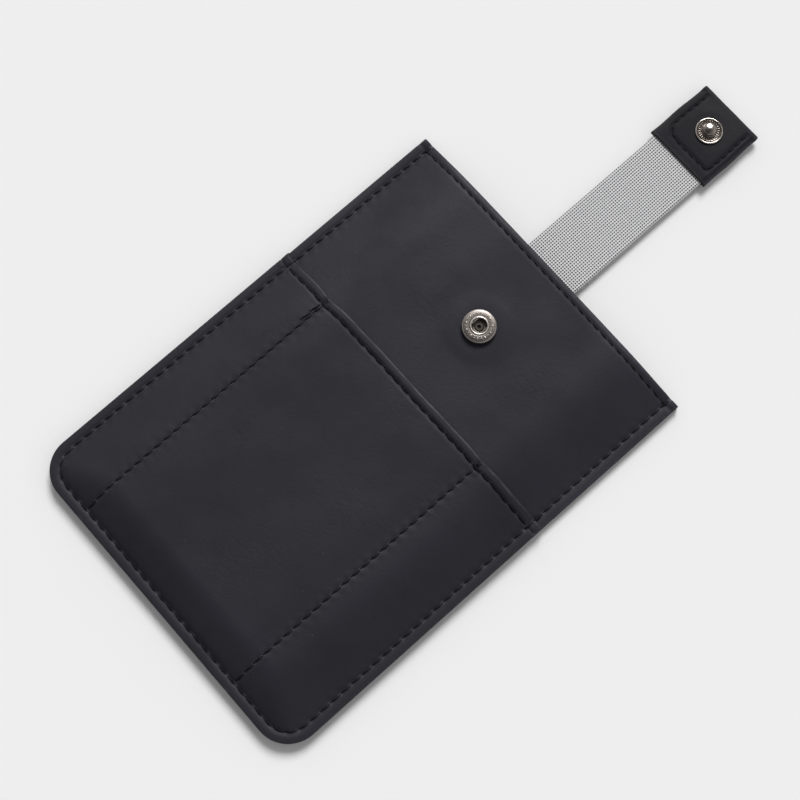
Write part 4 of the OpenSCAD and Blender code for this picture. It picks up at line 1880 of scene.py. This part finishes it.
@dataclass
class LeatherTab:
    """One strip of leather folded over the end of the webbing and sewn."""

    wardrobe: Wardrobe
    leaf: float = 0.95
    web_half: float = 11.0
    side_in: float = 2.9
    low_in: float = 3.9
    chamfer: float = 3.0
    pitch: float = 3.0
    edge_r: float = 0.4
    stud_flat_r: float = 4.7

    def __post_init__(self) -> None:
        """Reads the tab's place."""
        low, high = mm_box("tab_leather")
        self.half = high[0]
        self.start, self.end = low[1], high[1]
        self.z = (low[2] + high[2]) / 2
        self.full = (high[2] - low[2]) / 2
        stud_low, stud_high = mm_box("snap_stud")
        self.stud_y = (stud_low[1] + stud_high[1]) / 2

    def half_at(self, y: Array) -> Array:
        """Half width of the tab, slightly waisted."""
        t = (y - self.start) / (self.end - self.start)
        return self.half - 0.3 * t - 0.12 * np.sin(3.1 * math.pi * t)

    def seam_distance(self, x: Array, y: Array) -> Array:
        """Distance from the seam line of the two sides and the open edge."""
        inward = self.half_at(y) - self.side_in - np.abs(x)
        along = y - self.start - self.low_in
        corner = np.hypot(np.minimum(inward, 0.0), np.minimum(along, 0.0))
        slant = np.where(x < 0, (inward + along - 0.8 * self.chamfer) / math.sqrt(2), 9.0)
        inner = np.minimum(np.minimum(np.maximum(inward, 0.0), np.maximum(along, 0.0)),
                           np.maximum(slant, 0.0))
        outside = np.maximum(corner, np.maximum(-slant, 0.0))
        return np.maximum(inner, outside)

    def rise(self, x: Array, y: Array, top: bool) -> Array:
        """Height of a leaf's outer face above the tab's middle plane."""
        fold = ease((y - self.end + 3.2) / 2.0)
        over = np.maximum(ease((self.web_half + 0.9 - np.abs(x)) / 1.6), fold)
        flat = self.leaf + 0.04 + 0.36 * over
        seam = -0.34 * bump_at(self.seam_distance(x, y), 0.65) * ease((self.end - 1.6 - y) / 1.2)
        puff = 0.05 * ripple(x, y, 9.0, 3 if top else 4)
        r = np.hypot(x, y - self.stud_y)
        held = bump_at(np.clip(r - self.stud_flat_r, 0, None), 1.5)
        value = flat + seam + puff
        value = value * (1 - held) + (self.leaf + 0.40) * held
        return value + 0.06 * bump_at(r - 7.0, 1.5)

    def build_leather(self) -> None:
        """The folded strip as one closed piece, up the back leaf and down the front."""
        length = self.end - self.start
        radius = self.full
        leg = length - radius
        arc = math.pi * radius
        edge = np.array(EDGE_LINES)
        run = lines(0, 2 * leg + arc, 0.42, [(leg + arc / 2, arc / 2 + 0.3, 0.25)])
        run = np.unique(np.concatenate([run, edge, 2 * leg + arc - edge]))
        across = lines(-1, 1, 0.035)
        across = np.unique(np.concatenate([across, -1 + edge / self.half, 1 - edge / self.half]))
        s, u = np.meshgrid(run, across, indexing="ij")
        angle = np.clip((s - leg) / radius, 0, math.pi)
        y = np.where(s < leg, self.start + s,
                     np.where(s > leg + arc, self.start + 2 * leg + arc - s, self.start + leg))
        x = u * self.half_at(np.clip(y, self.start, self.end))
        top = s > leg + arc / 2
        outer = np.where(top, self.rise(x, y, top=True), self.rise(x, y, top=False))
        near = np.minimum(np.minimum(s, 2 * leg + arc - s), (1 - np.abs(u)) * self.half)
        cut = np.clip(self.edge_r - near, 0, self.edge_r)
        drop = self.edge_r - np.sqrt(self.edge_r ** 2 - cut ** 2)
        inner = np.clip(outer - self.leaf, 0.03, None) + drop * 0.5
        outer = outer - drop
        dy, dz = np.sin(angle), -np.cos(angle)
        tip = 1 + 0.05 * np.sin(angle)
        points = []
        for reach in (outer, inner):
            flat_z = self.z + dz * reach
            points.append(np.stack([x, y + dy * reach * tip, flat_z], -1).reshape(-1, 3))
        wear_and_glint = bump_at(near, 0.55) * 0.7
        wear_and_glint = np.maximum(wear_and_glint, 0.6 * np.sin(angle) ** 3)
        rub = np.concatenate([wear_and_glint.ravel(), wear_and_glint.ravel() * 0.4])
        piece = mesh_piece("tab_folded_leather", np.concatenate(points),
                           shell_faces(*s.shape), self.wardrobe.get(TAB_LEATHER), Slot.TAB, rub)
        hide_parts("tab_leather")
        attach(piece, Body.TAB.value)

    def build_stitches(self) -> None:
        """Seam down both sides and across the open edge, on both leaves."""
        low = self.start + self.low_in
        high = self.end - 2.6
        side = lambda y: float(self.half_at(np.array(y))) - self.side_in
        ys = np.linspace(high, low + self.chamfer, 12)
        left = [(-side(y), y) for y in ys]
        right = [(side(y), y) for y in ys[::-1]]
        middle = [(-side(low) + self.chamfer * 0.8, low), (side(low) - 0.4, low)]
        path = np.array(left + middle + right)
        holder = Seams(PouchForm.from_frame(), self.wardrobe,
                       Thread(radius=0.31, hole=0.75, well=0.42))
        spots = holder.holes(path, self.pitch)
        pairs = [spots[i:i + 2] for i in range(len(spots) - 1)]
        top = lambda x, y: self.z + self.rise(x, y, top=True)
        bottom = lambda x, y: self.z - self.rise(x, y, top=False)
        runs = [(pair, ONE_STITCH, top, 1) for pair in pairs]
        runs += [(pair, ONE_STITCH, bottom, -1) for pair in pairs]
        holder.row("tab_stitches", "tab_stitching", runs, Body.TAB)

    def build(self) -> None:
        """Makes the tab and its seam."""
        self.build_leather()
        self.build_stitches()


# ---- Stage ----


@dataclass(frozen=True)
class Studio:
    """Pale floor, soft light from above and a camera that looks down at a slant."""

    wardrobe: Wardrobe
    lens: float = 70.5
    azimuth: float = 48.97
    elevation: float = 78.2
    roll: float = -0.53
    distance: float = 498.8
    aim: tuple[float, float, float] = (-0.13, 17.85, 2.0)
    sensor: float = 36.0
    floor_size: float = 4000.0
    floor_z: float = -0.02
    key_way: tuple[float, float, float] = (0.16, 0.76, 0.52)
    fill_way: tuple[float, float, float] = (0.55, -0.35, 0.6)
    sun_strength: float = 2.93
    sun_spread: float = 27.0
    fill_strength: float = 0.28
    fill_spread: float = 90.0
    world_strength: float = 0.42

    def axes(self) -> tuple[Vector, Vector, Vector]:
        """Right, up and backward directions of the camera before its roll."""
        a, e = math.radians(self.azimuth), math.radians(self.elevation)
        back = Vector((math.sin(a) * math.cos(e), -math.cos(a) * math.cos(e), math.sin(e)))
        right = Vector((math.cos(a), math.sin(a), 0.0))
        return right, back.cross(right), back

    def build_camera(self) -> None:
        """Camera at its distance from the aim, turned by its roll."""
        right, up, back = self.axes()
        data = bpy.data.cameras.new("camera")
        data.lens = self.lens
        data.sensor_width = self.sensor
        data.clip_start = 0.01
        camera = bpy.data.objects.new("camera", data)
        bpy.context.scene.collection.objects.link(camera)
        turned = Matrix((right, up, back)).transposed()
        turned = turned @ Matrix.Rotation(math.radians(self.roll), 3, "Z")
        place = Vector(self.aim) + back * self.distance
        camera.matrix_world = Matrix.Translation(place * MM) @ turned.to_4x4()
        bpy.context.scene.camera = camera

    def build_floor(self) -> None:
        """Floor just under the pouch."""
        half = self.floor_size / 2
        corners = np.array([[across * half, along * half, self.floor_z] for across, along
                            in ((-1, -1), (1, -1), (1, 1), (-1, 1))])
        mesh = bpy.data.meshes.new("floor")
        mesh.from_pydata((corners * MM).tolist(), [], [(0, 1, 2, 3)])
        mesh.materials.append(self.wardrobe.get(FloorFinish()))
        floor = bpy.data.objects.new("floor", mesh)
        bpy.context.scene.collection.objects.link(floor)

    def add_sun(self, name: str, towards: Vector, strength: float, spread: float) -> None:
        """Adds one soft distant light.

        Args:
            name: Name of the light.
            towards: Direction in which it stands.
            strength: Its strength.
            spread: Its apparent size in degrees.
        """
        data = bpy.data.lights.new(name, "SUN")
        data.energy = strength
        data.angle = math.radians(spread)
        light = bpy.data.objects.new(name, data)
        light.rotation_euler = towards.to_track_quat("Z", "Y").to_euler()
        bpy.context.scene.collection.objects.link(light)

    def build_light(self) -> None:
        """Soft key from the top of the view, a wide fill, and a surround with a dark zenith."""
        view = Matrix(self.axes()).transposed()
        key, fill = ((view @ Vector(way)).normalized() for way in (self.key_way, self.fill_way))
        self.add_sun("key", key, self.sun_strength, self.sun_spread)
        self.add_sun("fill", fill, self.fill_strength, self.fill_spread)
        world = bpy.data.worlds.new("surround")
        bpy.context.scene.world = world
        world.use_nodes = True
        sketch = NodeSketch(world.node_tree)
        world.node_tree.nodes.clear()
        where = sketch.add("ShaderNodeTexCoord").outputs["Generated"]
        slope = sketch.add("ShaderNodeVectorMath", {0: where, 1: tuple(key)},
                           operation="DOT_PRODUCT").outputs["Value"]
        rise = sketch.add("ShaderNodeSeparateXYZ", {0: where}).outputs[2]
        lit = sketch.ramp(slope, -0.2, 0.8, 0.68, 1.36)
        shade = sketch.ramp(rise, 0.72, 0.97, 1.0, 0.18)
        glow = sketch.calc("MULTIPLY", lit, shade)
        light = sketch.add("ShaderNodeBackground", {"Color": rgba(1.0, 1.0, 1.0),
                           "Strength": sketch.calc("MULTIPLY", glow, self.world_strength)})
        output = sketch.add("ShaderNodeOutputWorld")
        world.node_tree.links.new(light.outputs[0], output.inputs["Surface"])

    def build(self) -> None:
        """Sets the stage and the plain colour handling."""
        self.build_camera()
        self.build_floor()
        self.build_light()
        settings = bpy.context.scene.view_settings
        settings.view_transform = "Standard"
        settings.look = "None"


def main() -> None:
    """Builds every sub-assembly in order."""
    logging.basicConfig(level=logging.INFO, format="%(name)s: %(message)s")
    wardrobe = Wardrobe()
    form = PouchForm.from_frame()
    assemblies = [Studio(wardrobe), Panels(form, wardrobe), FrontPocket(form, wardrobe),
                  Seams(form, wardrobe), SnapSocket(wardrobe), PullStrap(wardrobe, form),
                  LeatherTab(wardrobe), SnapStud(wardrobe)]
    for assembly in assemblies:
        before = set(bpy.data.objects)
        assembly.build()
        for piece in sorted(set(bpy.data.objects) - before, key=lambda o: o.name):
            LOG.info("%s: %s", type(assembly).__name__, piece.name)


if __name__ == "__main__":
    main()
